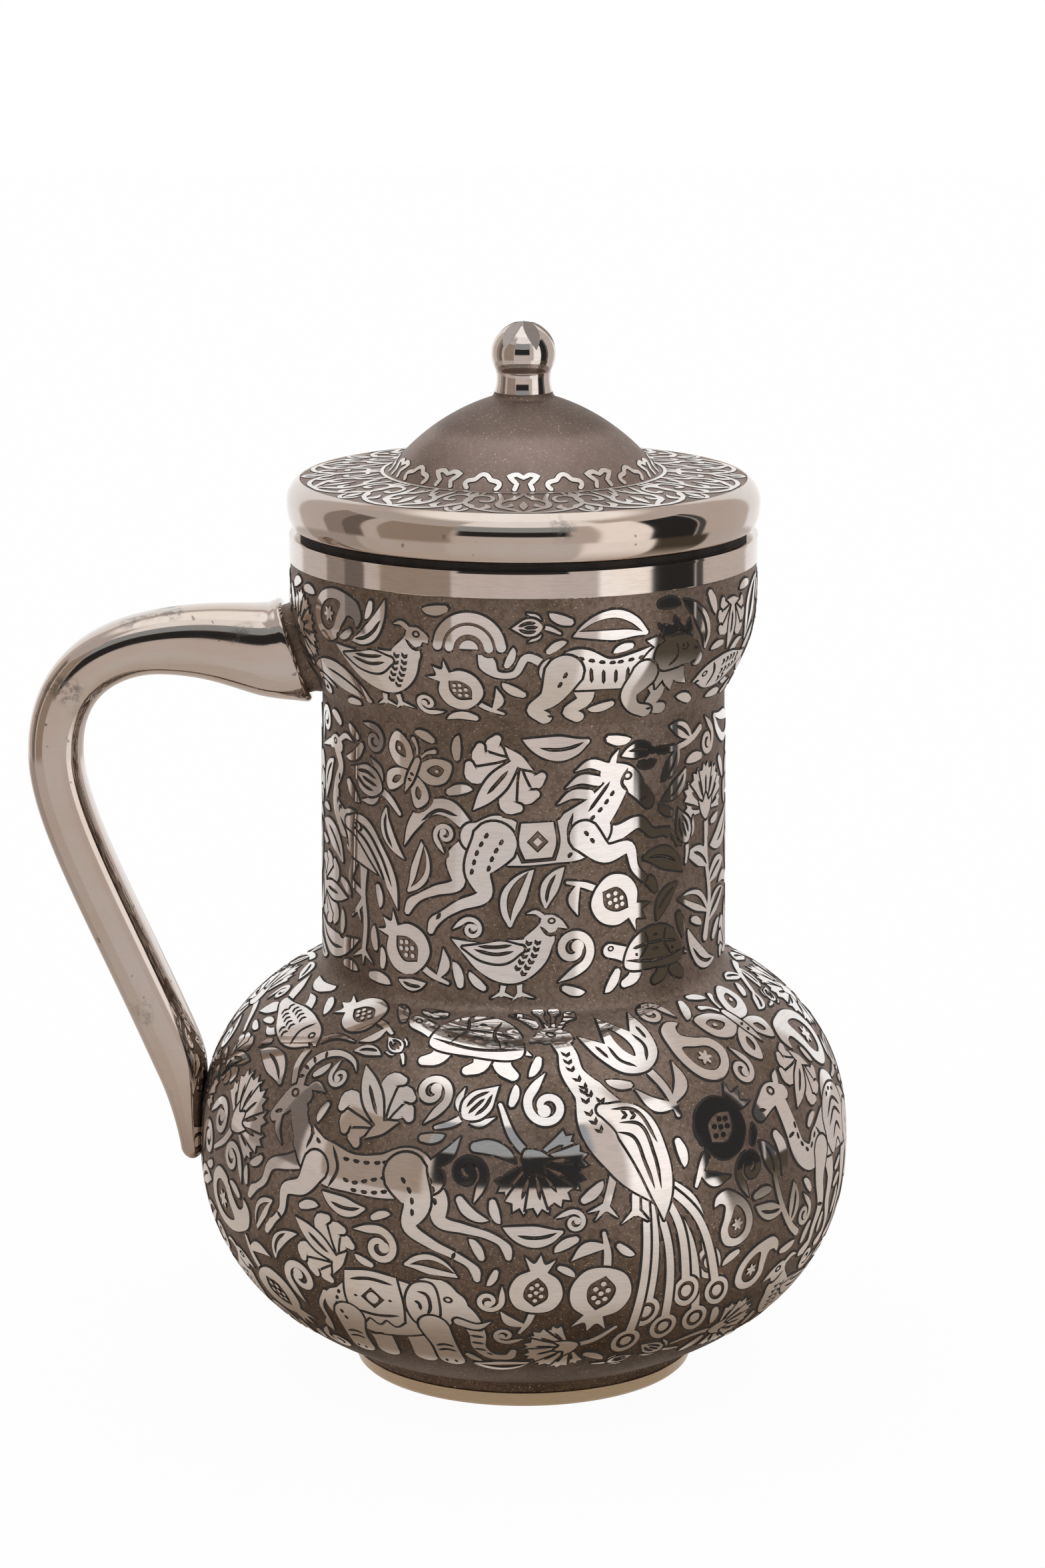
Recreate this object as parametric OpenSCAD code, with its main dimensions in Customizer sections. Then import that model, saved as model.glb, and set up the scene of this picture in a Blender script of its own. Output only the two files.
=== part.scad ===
// Lidded jug of blown glass: a squat round bulb under a straight neck, a flared collar,
// an applied foot, a drawn solid handle, and a lift-off lid with a star-cut knob.
// Frame: origin at the centre of the foot's resting face, +Z up, the handle towards -X.

/* [Bulb] */
// Largest radius of the bulb
bulb_r = 77.5; // [72:0.5:82]
// Height of the bulb's widest circle above the resting face
bulb_mid_z = 55; // [52:0.5:60]
// Height of the upper half of the bulb's curve
bulb_top_h = 51.3; // [48:0.1:54]
// Height of the lower half of the bulb's curve
bulb_bottom_h = 55.2; // [54:0.1:57]
// Squareness of the upper half, where 2 is an ellipse
shoulder_power = 2.4; // [2.2:0.05:2.6]
// Squareness of the lower half, where 2 is an ellipse
belly_power = 2.25; // [2.1:0.05:2.5]
// Wall thickness of the blown glass
wall = 4; // [3:0.1:5]
// Depth to which the matt ground is etched below the polished bands
etch = 0.3; // [0.1:0.05:0.5]

/* [Neck and collar] */
// Radius of the neck where it leaves the bulb
neck_foot_r = 48; // [45:0.1:50]
// Radius of the neck under the collar
neck_top_r = 47.6; // [45:0.1:50]
// Height of the neck from the bulb to the collar
neck_h = 65.7; // [55:0.1:80]
// Radius of the hollow fillet between the bulb and the neck
neck_fillet = 2.2; // [1:0.1:4]
// Outer radius of the collar and of its polished band
collar_r = 54.8; // [53:0.1:57]
// Height over which the neck opens out to the collar
flare_h = 22; // [18:0.5:28]
// Share of that height which is a plain cone, before the wall turns upright
flare_cone = 0.41; // [0.2:0.01:0.7]
// Height of the collar's straight wall, up to the rim
collar_h = 15.1; // [12:0.1:22]
// Height of the polished band below the rim
rim_band_h = 6.2; // [4:0.1:9]
// Wall thickness at the rim
rim_wall = 4.5; // [3.8:0.1:5.5]

/* [Foot] */
// Radius of the foot at the resting face
foot_r = 40.2; // [36:0.1:43]
// Radius of the foot where it meets the bulb
foot_top_r = 41.8; // [38:0.1:44]
// Bevel at the foot's lower edge
foot_bevel = 0.8; // [0.3:0.1:1.5]
// Width of the ground ring that the jug rests on
foot_ring_w = 6.5; // [4:0.1:12]
// Depth of the hollow inside that ring
foot_hollow = 2.2; // [1:0.1:3]
// Thickness of the foot's glass above that hollow
foot_web = 2; // [1.5:0.1:2.5]
// Thickness of the bulb's flattened base above the foot
base_wall = 5; // [4:0.1:8]
// Radius of the flat floor inside the bulb
floor_r = 26; // [18:0.5:34]

/* [Handle] */
// Distance from the jug's axis to the middle of the handle's grip
handle_reach = 110.6; // [105:0.2:120]
// Height of the grip's furthest point below the collar's rim
grip_drop = 52.6; // [45:0.2:60]
// Thickness of the grip, seen from the side
grip_t = 12.9; // [11:0.1:15]
// Width of the grip, seen from behind
grip_w = 15.6; // [12:0.1:18]
// Height of the handle's flared end on the collar
pad_h = 25; // [22:0.1:26]
// Width of the handle's flared end on the collar
pad_w = 22; // [18:0.1:25]
// Radius of the rounded edge of the flared end
pad_round = 1.2; // [0.6:0.1:2]
// Height of the flared end's middle above the foot of the flare
pad_rise = 9.8; // [8:0.1:12]
// Thickness of the matt seat between the flared end and the collar
seat_t = 2.3; // [1.8:0.1:4]
// How far the seat's edge lies inside the handle's
seat_inset = 0.7; // [0.2:0.1:1.2]
// Roundness of the handle's section, where 2 is an ellipse
handle_power = 2.7; // [2:0.1:4]
// Height at which the handle reaches the bulb
tail_top_z = 72; // [68:0.5:78]
// Length of the tail pressed on to the bulb
tail_h = 22; // [18:0.5:28]
// Thickness of the tail near its tip
tail_t = 5.8; // [4:0.1:8]
// Width of the tail near its tip
tail_w = 14.5; // [10:0.1:18]
// Depth to which the tail sinks into the bulb's soft glass
tail_sink = 0.8; // [0.4:0.1:1.5]

/* [Handle curve] */
// Share of the reach at which the arm passes into the turn
arm_end = 0.55; // [0.5:0.01:0.62]
// Rise of the arm above the flared end's middle
arm_rise = 1.75; // [0:0.25:4]
// Angle at which the arm dips into the turn
arm_dip = 4.5; // [0:0.5:10]
// Pull of the curve out of the flared end
pad_pull = 7; // [3:0.5:10]
// Pull of the curve along the arm
arm_pull = 17; // [12:0.5:20]
// Pull of the turn up from the grip
turn_pull = 26; // [20:0.5:30]
// Pull of the curve down from the grip
grip_pull = 15.5; // [10:0.5:22]
// Angle at which the handle leans in to the bulb
drop_lean = 22.6; // [18:0.2:27]
// Pull of the curve up from the bulb
drop_pull = 42; // [34:0.5:48]

/* [Lid] */
// Outward swell of the lid's rolled edge beyond the collar
bead_over = 0.5; // [0:0.1:2]
// Radius of the rolled edge's upper curve
bead_top_r = 6.2; // [5:0.1:7]
// Height of the rolled edge's lower curve
bead_bottom_h = 5.8; // [4.5:0.1:7]
// Depth of the rolled edge's lower curve
bead_bottom_w = 2; // [1.5:0.1:2.6]
// Gap between the rolled edge and the collar's rim
rim_gap = 1.6; // [1:0.1:3]
// Overlap of the lid's seat on the rim's flat face
seat_w = 1.8; // [1:0.1:2.4]
// Rise of the flat shoulder from the rolled edge to the dome
shoulder_rise = 1.6; // [0.5:0.1:3]
// Radius of the dome at its foot
dome_foot_r = 31.6; // [28:0.1:36]
// Radius of the dome's arc
dome_arc_r = 49.6; // [47:0.1:60]
// Distance of that arc's centre beyond the axis
dome_arc_off = 8; // [5:0.1:11]
// Thickness of the lid's glass
lid_wall = 3.4; // [2.5:0.1:4]
// Depth to which the lid's flange drops into the mouth
flange_h = 9; // [6:0.5:12]
// Thickness of the flange
flange_t = 2.8; // [2:0.1:4]
// Clearance round the flange in the mouth
flange_clear = 0.5; // [0.3:0.05:1]

/* [Knob] */
// Radius of the knob's ball
knob_r = 7.5; // [6.8:0.1:9]
// Radius of the knob's waist
waist_r = 6.25; // [5:0.05:6.5]
// Height of the waist above the lid
waist_h = 2.9; // [2:0.1:4]
// Radius of the hollow curve along the waist
waist_arc_r = 8; // [7:0.5:12]
// Height of the ball's centre above the waist
ball_rise = 5.9; // [5:0.1:7]
// Radius of the fillet between the knob and the dome
knob_fillet = 1.6; // [1:0.1:3]
// Number of leaf cuts in the star
star_cuts = 6; // [5:1:8]
// Angle of the cuts' lower tips above the ball's widest circle
star_tip = 12; // [5:1:25]
// Angle between the two faces of each cut
star_angle = 100; // [80:5:120]
// Turn of the star about the axis
star_turn = -6; // [-30:1:30]

/* [Hidden] */

$fn = 96;

matt_colour = [0.36, 0.30, 0.27];
polish_colour = [0.72, 0.67, 0.63];

bulb_steps = 16;
arc_steps = 8;
handle_sides = 24;
edge_round = 0.4;
join_overlap = 3;

// --- Plane curves ---

// Even steps from 0 to 1
function steps(n) = [for (i = [0:n]) i / n];
// Value a share t of the way from a to b, which may be numbers or points
function mix(a, b, t) = a + (b - a) * t;
// Share t turned into a smooth start and end
function ease(t) = t * t * (3 - 2 * t);
// Point at share t of a quadratic curve
function bend(a, b, c, t) = mix(mix(a, b, t), mix(b, c, t), t);
// Point at share t of a cubic curve
function curve(a, b, c, d, t) = mix(bend(a, b, c, t), bend(b, c, d, t), t);
// A vector of length 1
function unit(v) = v / norm(v);
// Radius of a superellipse a by b at height h from its widest circle
function oval_r(a, b, power, h) = a * pow(max(0, 1 - pow(abs(h) / b, power)), 1 / power);
// Height from its widest circle at which a superellipse a by b has radius r
function oval_h(a, b, power, r) = b * pow(max(0, 1 - pow(min(1, r / a), power)), 1 / power);
// Quarter of a superellipse from its widest point to radius r, signed up (+1) or down (-1)
function oval_arc(a, b, power, r, mid_z, way) = let (
        last = asin(pow(oval_h(a, b, power, r) / b, power / 2)))
    [for (s = steps(bulb_steps)) [a * pow(cos(last * s), 2 / power),
                                  mid_z + way * b * pow(sin(last * s), 2 / power)]];
// Circular arc between two angles
function arc(centre, r, from, to, n) =
    [for (s = steps(n)) centre + r * [cos(mix(from, to, s)), sin(mix(from, to, s))]];
function reversed(list) = [for (i = [len(list) - 1:-1:0]) list[i]];
function without_first(list) = [for (i = [1:len(list) - 1]) list[i]];

// --- Heights and radii of the vessel's etched ground, each built on the one below ---

ground_bulb_r = bulb_r - etch;
ground_neck_foot_r = neck_foot_r - etch;
ground_neck_top_r = neck_top_r - etch;
ground_collar_r = collar_r - etch;
foot_join_z = bulb_mid_z - oval_h(ground_bulb_r, bulb_bottom_h, belly_power, foot_top_r);
base_z = foot_hollow + foot_web;
neck_z = bulb_mid_z + oval_h(ground_bulb_r, bulb_top_h, shoulder_power, ground_neck_foot_r);
flare_z = neck_z + neck_h;
collar_z = flare_z + flare_h;
rim_z = collar_z + collar_h;
mouth_r = collar_r - rim_wall;

// Radius of the ground on the bulb at height z
function bulb_r_at(z) = z > bulb_mid_z
    ? oval_r(ground_bulb_r, bulb_top_h, shoulder_power, z - bulb_mid_z)
    : oval_r(ground_bulb_r, bulb_bottom_h, belly_power, z - bulb_mid_z);
// Share of the flare's widening at share t of its height: a cone, then a curve to upright
function flare_share(t) = let (slope = 2 / (1 + flare_cone))
    t < flare_cone ? slope * t : 1 - slope * pow(1 - t, 2) / (1 - flare_cone) / 2;
// Radius of the ground on the neck and the collar at height z
function neck_r_at(z) = let (t = (z - flare_z) / flare_h)
    t < 0 ? ground_neck_top_r : mix(ground_neck_top_r, ground_collar_r, flare_share(min(1, t)));
// The flare from a neck's radius to a collar's
function flare_curve(low_r, high_r, low_z, high_z) = concat([[low_r, low_z]],
    [for (s = steps(arc_steps)) let (t = mix(flare_cone, 1, s))
        [mix(low_r, high_r, flare_share(t)), mix(low_z, high_z, t)]]);
// The fillet between the bulb and the neck
function neck_fillet_curve() = let (
        start_r = ground_neck_foot_r + neck_fillet,
        start_z = bulb_mid_z + oval_h(ground_bulb_r, bulb_top_h, shoulder_power, start_r))
    [for (s = steps(4)) bend([start_r, start_z], [ground_neck_foot_r, neck_z],
                             [ground_neck_foot_r, neck_z + neck_fillet], s)];

outside = concat(
    [[0, base_z], [foot_top_r - foot_join_z + base_z, base_z]],
    reversed(oval_arc(ground_bulb_r, bulb_bottom_h, belly_power, foot_top_r, bulb_mid_z, -1)),
    without_first(oval_arc(ground_bulb_r, bulb_top_h, shoulder_power,
                           ground_neck_foot_r + neck_fillet + 0.5, bulb_mid_z, 1)),
    neck_fillet_curve(),
    flare_curve(ground_neck_top_r, ground_collar_r, flare_z, collar_z),
    [[ground_collar_r, rim_z - rim_band_h], [collar_r, rim_z - rim_band_h],
     [collar_r, rim_z - edge_round], [collar_r - edge_round, rim_z], [0, rim_z]]);

inner_bulb_r = bulb_r - wall;
inner_low_h = bulb_mid_z - base_z - base_wall;
inner_top_h = bulb_top_h - wall;
inner_neck_foot_r = neck_foot_r - wall;
mouth_flare_z = flare_z + wall / 2;

inside = concat(
    [[0, base_z + base_wall]],
    reversed(oval_arc(inner_bulb_r, inner_low_h, belly_power, floor_r, bulb_mid_z, -1)),
    without_first(oval_arc(inner_bulb_r, inner_top_h, shoulder_power, inner_neck_foot_r,
                           bulb_mid_z, 1)),
    flare_curve(neck_top_r - wall, mouth_r, mouth_flare_z, collar_z),
    [[mouth_r, rim_z + join_overlap], [0, rim_z + join_overlap]]);

// --- Vessel and foot ---

// Everything within the vessel's outer surface, to cut what is fused to it
module envelope() {
    rotate_extrude() polygon(outside);
}

module vessel() {
    color(matt_colour) difference() {
        envelope();
        rotate_extrude() polygon(inside);
    }
}

module foot() {
    ring_r = foot_r - foot_ring_w;
    color(polish_colour) difference() {
        rotate_extrude() polygon([
            [0, foot_hollow], [ring_r - foot_hollow, foot_hollow], [ring_r, 0],
            [foot_r - foot_bevel, 0], [foot_r, foot_bevel], [foot_top_r, foot_join_z],
            [0, foot_join_z]]);
        envelope();
    }
}

// --- Handle ---

// The flared end lies parallel to the collar's wall, seat_t away from it
pad_z = flare_z + pad_rise;
face_h = pad_h - 2 * pad_round;
face_w = pad_w - 2 * pad_round;
pad_top = [-neck_r_at(pad_z + face_h / 2), pad_z + face_h / 2];
pad_bottom = [-neck_r_at(pad_z - face_h / 2), pad_z - face_h / 2];
pad_up = unit(pad_top - pad_bottom);
pad_out = [-pad_up[1], pad_up[0]];
pad_centre = (pad_top + pad_bottom) / 2 + seat_t * pad_out;

// Superellipse section of thickness t and width w, as [across, along Y] pairs
function section(t, w) = [for (i = [0:handle_sides - 1]) let (
        a = 360 * i / handle_sides, c = cos(a), s = sin(a))
    [t / 2 * sign(c) * pow(abs(c), 2 / handle_power), w / 2 * sign(s) * pow(abs(s), 2 / handle_power)]];

// Thinning of the tail at height z, quick where it first lies on the bulb
function tail_thin(z) = 1 - pow(1 - (tail_top_z - z) / tail_h, 2);
function tail_thickness(z) = mix(grip_t, tail_t, tail_thin(z));
// Distance from the axis to the tail's centre line at height z
function tail_x(z) = bulb_r_at(z) + tail_thickness(z) / 2 - tail_sink * tail_thin(z);

grip = [-handle_reach, rim_z - grip_drop];
arm_top = [mix(pad_centre[0], grip[0], arm_end), pad_centre[1] + arm_rise];
arm_dir = [-cos(arm_dip), -sin(arm_dip)];
tail_start = [-tail_x(tail_top_z), tail_top_z];
drop_dir = [sin(drop_lean), -cos(drop_lean)];
tip_round = tail_t / 2;
tail_end_z = tail_top_z - tail_h + tip_round;
arm_n = 7;
turn_n = 12;
drop_n = 16;
tail_n = 8;

// Centre line [x, z] from the collar, over the arm, round the turn, down the grip and tail
path = concat(
    [for (s = steps(arm_n)) curve(pad_centre, pad_centre + pad_pull * pad_out,
        arm_top - arm_pull * arm_dir, arm_top, s)],
    without_first([for (s = steps(turn_n)) curve(arm_top, arm_top + arm_dir,
        grip + [0, turn_pull], grip, s)]),
    without_first([for (s = steps(drop_n)) curve(grip, grip - [0, grip_pull],
        tail_start - drop_pull * drop_dir, tail_start, s)]),
    without_first([for (s = steps(tail_n)) let (z = mix(tail_top_z, tail_end_z, s))
        [-tail_x(z), z]]));

turn_i = arm_n;
drop_i = arm_n + turn_n + drop_n;
last_i = drop_i + tail_n;
// Share of the way through the arm, the turn and the tail at ring i
function arm_share(i) = min(1, i / turn_i);
function turn_share(i) = min(1, max(0, (i - turn_i) / turn_n));
function tail_share(i) = max(0, (i - drop_i) / tail_n);
// Thickness of the handle at ring i: it thins along the arm, less so round the turn
arm_t = (pad_h + 4 * grip_t) / 5;
function thickness(i) = i > drop_i ? tail_thickness(path[i][1])
    : i < turn_i ? mix(pad_h, arm_t, arm_share(i))
    : mix(grip_t, arm_t, pow(1 - turn_share(i), 2));
// Width of the handle at ring i
function width(i) = i > drop_i ? mix(grip_w, tail_w, tail_share(i))
    : mix(pad_w, grip_w, ease(arm_share(i)));
// Direction along the centre line at ring i
function heading(i) = i == 0 ? pad_out : unit(path[min(last_i, i + 1)] - path[i - 1]);
// Ring number i, grown by grow and moved shift along its heading
function ring(i, grow = 0, shift = 0) = let (
        along = heading(i), out = [along[1], -along[0]], mid = path[i] + shift * along)
    [for (p = section(thickness(i) + grow, width(i) + grow))
        [mid[0] + p[0] * out[0], p[1], mid[1] + p[0] * out[1]]];

// All rings, with a rounded edge at the flared end and a round tip at the tail
rings = concat(
    [for (a = [0, 30, 60, 90]) ring(0, -2 * pad_round * (1 - sin(a)), pad_round * (1 - cos(a)))],
    [for (i = [1:last_i]) ring(i)],
    [for (a = [30, 60, 80]) ring(last_i, -tail_t * (1 - cos(a)), tip_round * sin(a))]);

module handle() {
    n = len(rings);
    m = handle_sides;
    sides = [for (k = [0:n - 2], i = [0:m - 1]) let (j = (i + 1) % m)
        [k * m + i, k * m + j, (k + 1) * m + j, (k + 1) * m + i]];
    first = [[for (i = [m - 1:-1:0]) i]];
    last = [[for (i = [0:m - 1]) (n - 1) * m + i]];
    color(polish_colour) difference() {
        polyhedron([for (r = rings, p = r) p], concat(sides, first, last), convexity = 4);
        envelope();
    }
}

// Matt seat of the same section as the handle's end, between it and the collar's wall
module handle_seat() {
    depth = seat_t + join_overlap;
    color(matt_colour) difference() {
        translate([pad_centre[0], 0, pad_centre[1]])
            rotate([0, 90 + atan2(pad_out[1], -pad_out[0]), 0])
                linear_extrude(depth)
                    polygon(section(face_h - 2 * seat_inset, face_w - 2 * seat_inset));
        envelope();
    }
}

// --- Lid ---

bead_r = collar_r + bead_over;
bead_under_z = rim_z + rim_gap;
bead_mid_z = bead_under_z + bead_bottom_h;
bead_top_c = bead_r - bead_top_r;
bead_end_angle = 60;
lid_ground = [bead_top_c + bead_top_r * cos(bead_end_angle) - etch,
              bead_mid_z + bead_top_r * sin(bead_end_angle) - etch / 2];
dome_foot_z = lid_ground[1] + shoulder_rise;
dome_c = [-dome_arc_off, dome_foot_z - sqrt(pow(dome_arc_r, 2) - pow(dome_foot_r + dome_arc_off, 2))];
knob_foot_r = waist_r + waist_arc_r - sqrt(pow(waist_arc_r, 2) - pow(waist_h, 2));
fillet_c = let (r = knob_foot_r + knob_fillet)
    [r, dome_c[1] + sqrt(pow(dome_arc_r + knob_fillet, 2) - pow(r + dome_arc_off, 2))];
knob_z = fillet_c[1];
flange_r = mouth_r - flange_clear;

lid_top = concat(
    [[0, knob_z]],
    let (end = atan2(dome_c[1] - fillet_c[1], dome_c[0] - fillet_c[0]))
        arc(fillet_c, knob_fillet, 180, 360 + end, 4),
    without_first(let (start = atan2(fillet_c[1] - dome_c[1], fillet_c[0] - dome_c[0]),
                       end = atan2(dome_foot_z - dome_c[1], dome_foot_r - dome_c[0]))
        arc(dome_c, dome_arc_r, start, end, 2 * arc_steps)),
    [lid_ground],
    arc([bead_top_c, bead_mid_z], bead_top_r, bead_end_angle, 0, arc_steps),
    without_first([for (s = steps(arc_steps)) [
        bead_r - bead_bottom_w * (1 - cos(90 * s)), bead_mid_z - bead_bottom_h * sin(90 * s)]]),
    [[mouth_r + seat_w, bead_under_z], [mouth_r + seat_w, rim_z], [flange_r, rim_z],
     [flange_r, rim_z - flange_h], [0, rim_z - flange_h]]);

hollow_r = flange_r - flange_t;
hollow_shoulder_z = lid_ground[1] - lid_wall;
hollow_arc_r = dome_arc_r - lid_wall;
hollow_foot_r = sqrt(pow(hollow_arc_r, 2) - pow(hollow_shoulder_z - dome_c[1], 2)) - dome_arc_off;
hollow_top_angle = asin(dome_arc_off / hollow_arc_r);

lid_hollow = concat(
    arc(dome_c, hollow_arc_r, 90 - hollow_top_angle,
        asin((hollow_shoulder_z - dome_c[1]) / hollow_arc_r), arc_steps),
    [[hollow_r - flange_t, hollow_shoulder_z], [hollow_r, hollow_shoulder_z - flange_t],
     [hollow_r, rim_z - flange_h - join_overlap], [0, rim_z - flange_h - join_overlap]]);

module lid() {
    color(matt_colour) difference() {
        rotate_extrude() polygon(lid_top);
        rotate_extrude() polygon(lid_hollow);
    }
}

// --- Knob ---

waist_z = knob_z + waist_h;
ball_z = waist_z + ball_rise;
// Each cut runs from the ball's top to its tip, deepest halfway
star_span = (90 - star_tip) / 2;
cut_reach = knob_r * cos(star_span);
cut_open = knob_r;

module star_cut() {
    translate([0, 0, ball_z]) rotate([0, -(star_tip + star_span), 0])
        linear_extrude(4 * knob_r, center = true)
            polygon([[cut_reach, 0],
                     [cut_reach + cut_open, cut_open * tan(star_angle / 2)],
                     [cut_reach + cut_open, -cut_open * tan(star_angle / 2)]]);
}

module knob() {
    rise = sqrt(pow(knob_r, 2) - pow(waist_r, 2));
    color(polish_colour) difference() {
        union() {
            translate([0, 0, ball_z]) sphere(knob_r);
            rotate_extrude() polygon(concat([[0, knob_z]],
                arc([waist_r + waist_arc_r, waist_z], waist_arc_r,
                    180 + asin(waist_h / waist_arc_r), 180 - asin((ball_rise - rise) / waist_arc_r),
                    arc_steps),
                [[0, ball_z]]));
        }
        for (i = [0:star_cuts - 1]) rotate([0, 0, 360 / star_cuts * i + star_turn]) star_cut();
    }
}

vessel();
foot();
handle_seat();
handle();
lid();
knob();
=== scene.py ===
"""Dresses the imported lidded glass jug: polished lustre, etched ground, raised ornament and studio."""

import logging
import math
from dataclasses import dataclass, field
from enum import Enum
from typing import Callable, Sequence

import bmesh
import bpy
import numpy as np
from mathutils import Matrix, Vector
from mathutils.geometry import delaunay_2d_cdt

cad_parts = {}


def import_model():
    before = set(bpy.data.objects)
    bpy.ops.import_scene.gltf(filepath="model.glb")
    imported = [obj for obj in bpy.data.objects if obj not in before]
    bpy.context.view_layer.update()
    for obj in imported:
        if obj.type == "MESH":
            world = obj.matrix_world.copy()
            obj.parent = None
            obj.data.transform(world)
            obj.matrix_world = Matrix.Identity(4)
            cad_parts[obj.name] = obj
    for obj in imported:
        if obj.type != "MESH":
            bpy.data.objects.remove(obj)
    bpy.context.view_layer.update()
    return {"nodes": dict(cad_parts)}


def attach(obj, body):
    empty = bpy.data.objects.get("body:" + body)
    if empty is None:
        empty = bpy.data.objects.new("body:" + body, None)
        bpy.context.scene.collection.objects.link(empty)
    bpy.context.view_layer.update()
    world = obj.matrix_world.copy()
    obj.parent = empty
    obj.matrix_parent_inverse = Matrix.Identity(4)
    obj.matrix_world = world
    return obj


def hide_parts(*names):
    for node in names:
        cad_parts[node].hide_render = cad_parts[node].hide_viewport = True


LOG = logging.getLogger("jug")
MM = 0.001
FRAME_PX = (1568, 2352)

Point = tuple[float, float]
Colour = tuple[float, float, float]
Material = bpy.types.Material
Piece = bpy.types.Object
Socket = bpy.types.NodeSocket


# --- Plane curves shared by the pieces, in millimetres -------------------------------------------


def mix(low: float, high: float, share: float) -> float:
    """Returns the value a share of the way from low to high."""
    return low + (high - low) * share


def steps(count: int) -> list[float]:
    """Returns count + 1 even shares from 0 to 1."""
    return [i / count for i in range(count + 1)]


def oval_radius(a: float, b: float, power: float, height: float) -> float:
    """Returns a superellipse's radius at a height from its widest circle."""
    return a * max(0.0, 1 - (abs(height) / b) ** power) ** (1 / power)


def oval_height(a: float, b: float, power: float, radius: float) -> float:
    """Returns the height from its widest circle at which a superellipse has a radius."""
    return b * max(0.0, 1 - min(1.0, radius / a) ** power) ** (1 / power)


def arc(centre: Point, radius: float, start: float, end: float, count: int) -> list[Point]:
    """Returns points along a circular arc between two angles in degrees."""
    angles = [math.radians(mix(start, end, s)) for s in steps(count)]
    return [(centre[0] + radius * math.cos(a), centre[1] + radius * math.sin(a)) for a in angles]


def cubic(a: np.ndarray, b: np.ndarray, c: np.ndarray, d: np.ndarray, count: int) -> np.ndarray:
    """Returns count + 1 points along a cubic curve with those four control points."""
    t = np.linspace(0, 1, count + 1)[:, None]
    return a * (1 - t) ** 3 + 3 * b * t * (1 - t) ** 2 + 3 * c * t * t * (1 - t) + d * t**3


def unit(way: np.ndarray) -> np.ndarray:
    """Returns rows of directions at a length of one."""
    return way / np.maximum(np.linalg.norm(way, axis=1), 1e-12)[:, None]


def runs(line: np.ndarray) -> np.ndarray:
    """Returns how far along a plane line each of its points lies."""
    return np.concatenate([[0], np.cumsum(np.linalg.norm(np.diff(line[:, :2], axis=0), axis=1))])


# --- Finishes ------------------------------------------------------------------------------------


class NodeTree:
    """A short way to write a material's or the world's shader nodes."""

    def __init__(self, tree: bpy.types.NodeTree) -> None:
        """Empties the tree and keeps it."""
        tree.nodes.clear()
        self.tree = tree

    def add(self, kind: str, **values: object) -> bpy.types.Node:
        """Adds a node.

        Args:
            kind: The node's type name, without its "ShaderNode".
            values: Node properties, or input sockets by name or index, as numbers, colours or
                sockets to link from. Underscores in a name stand for spaces.
        """
        node = self.tree.nodes.new("ShaderNode" + kind)
        for name, value in values.items():
            if hasattr(node, name):
                setattr(node, name, value)
                continue
            key = int(name[1:]) if name[0] == "i" and name[1:].isdigit() else name.replace("_", " ")
            if isinstance(value, Socket):
                self.tree.links.new(value, node.inputs[key])
            else:
                node.inputs[key].default_value = value
        return node

    def math(self, operation: str, a: object, b: object = 0.0, c: object = 0.0) -> Socket:
        """Returns the output of a Math node on numbers or sockets."""
        return self.add("Math", operation=operation, i0=a, i1=b, i2=c).outputs[0]

    def smooth(self, value: object, low: float, high: float) -> Socket:
        """Returns a smooth 0 to 1 ramp of value between low and high."""
        ramp = {"interpolation_type": "SMOOTHSTEP", "Value": value, "From_Min": low, "From_Max": high}
        return self.add("MapRange", **ramp).outputs[0]

    def blend(self, share: object, a: object, b: object, way: str = "MIX") -> Socket:
        """Returns colour a turned into colour b, or into their product, by a share."""
        a, b = (c + (1.0,) if isinstance(c, tuple) else c for c in (a, b))
        return self.add("Mix", data_type="RGBA", blend_type=way, i0=share, i6=a, i7=b).outputs[2]

    def noise(self, place: object, scale: float, detail: float = 2.0, roughness: float = 0.5) -> Socket:
        """Returns the value of a noise texture of that scale, in cycles a metre."""
        return self.add("TexNoise", Vector=place, Scale=scale, Detail=detail, Roughness=roughness).outputs[0]

    def height(self, place: Socket) -> Socket:
        """Returns the height of a place."""
        return self.add("SeparateXYZ", Vector=place).outputs[2]

    def azimuth(self, place: Socket) -> Socket:
        """Returns the azimuth of a place in degrees, 0 towards the camera and 90 to the right."""
        split = self.add("SeparateXYZ", Vector=place).outputs
        return self.math("DEGREES", self.math("ARCTAN2", split[0], self.math("MULTIPLY", split[1], -1.0)))

    def surface(
        self, colour: Socket, metal: float, rough: object, relief: Socket, strength: float, depth: float
    ) -> None:
        """Closes the tree with a surface.

        Args:
            colour: Its colour.
            metal: Its share of metal.
            rough: Its roughness.
            relief: The height of its fine relief, from 0 to 1.
            strength: How much of that relief shows.
            depth: The relief's depth in metres.
        """
        bump = self.add("Bump", Strength=strength, Distance=depth, Height=relief).outputs[0]
        values = {"Base_Color": colour, "Metallic": metal, "Roughness": rough, "Normal": bump}
        self.add("OutputMaterial", Surface=self.add("BsdfPrincipled", **values).outputs[0])


def new_material(name: str) -> tuple[Material, NodeTree, Socket]:
    """Returns a new material, its emptied tree and its object coordinates."""
    material = bpy.data.materials.new(name)
    material.use_nodes = True
    nodes = NodeTree(material.node_tree)
    return material, nodes, nodes.add("TexCoord").outputs["Object"]


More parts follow.
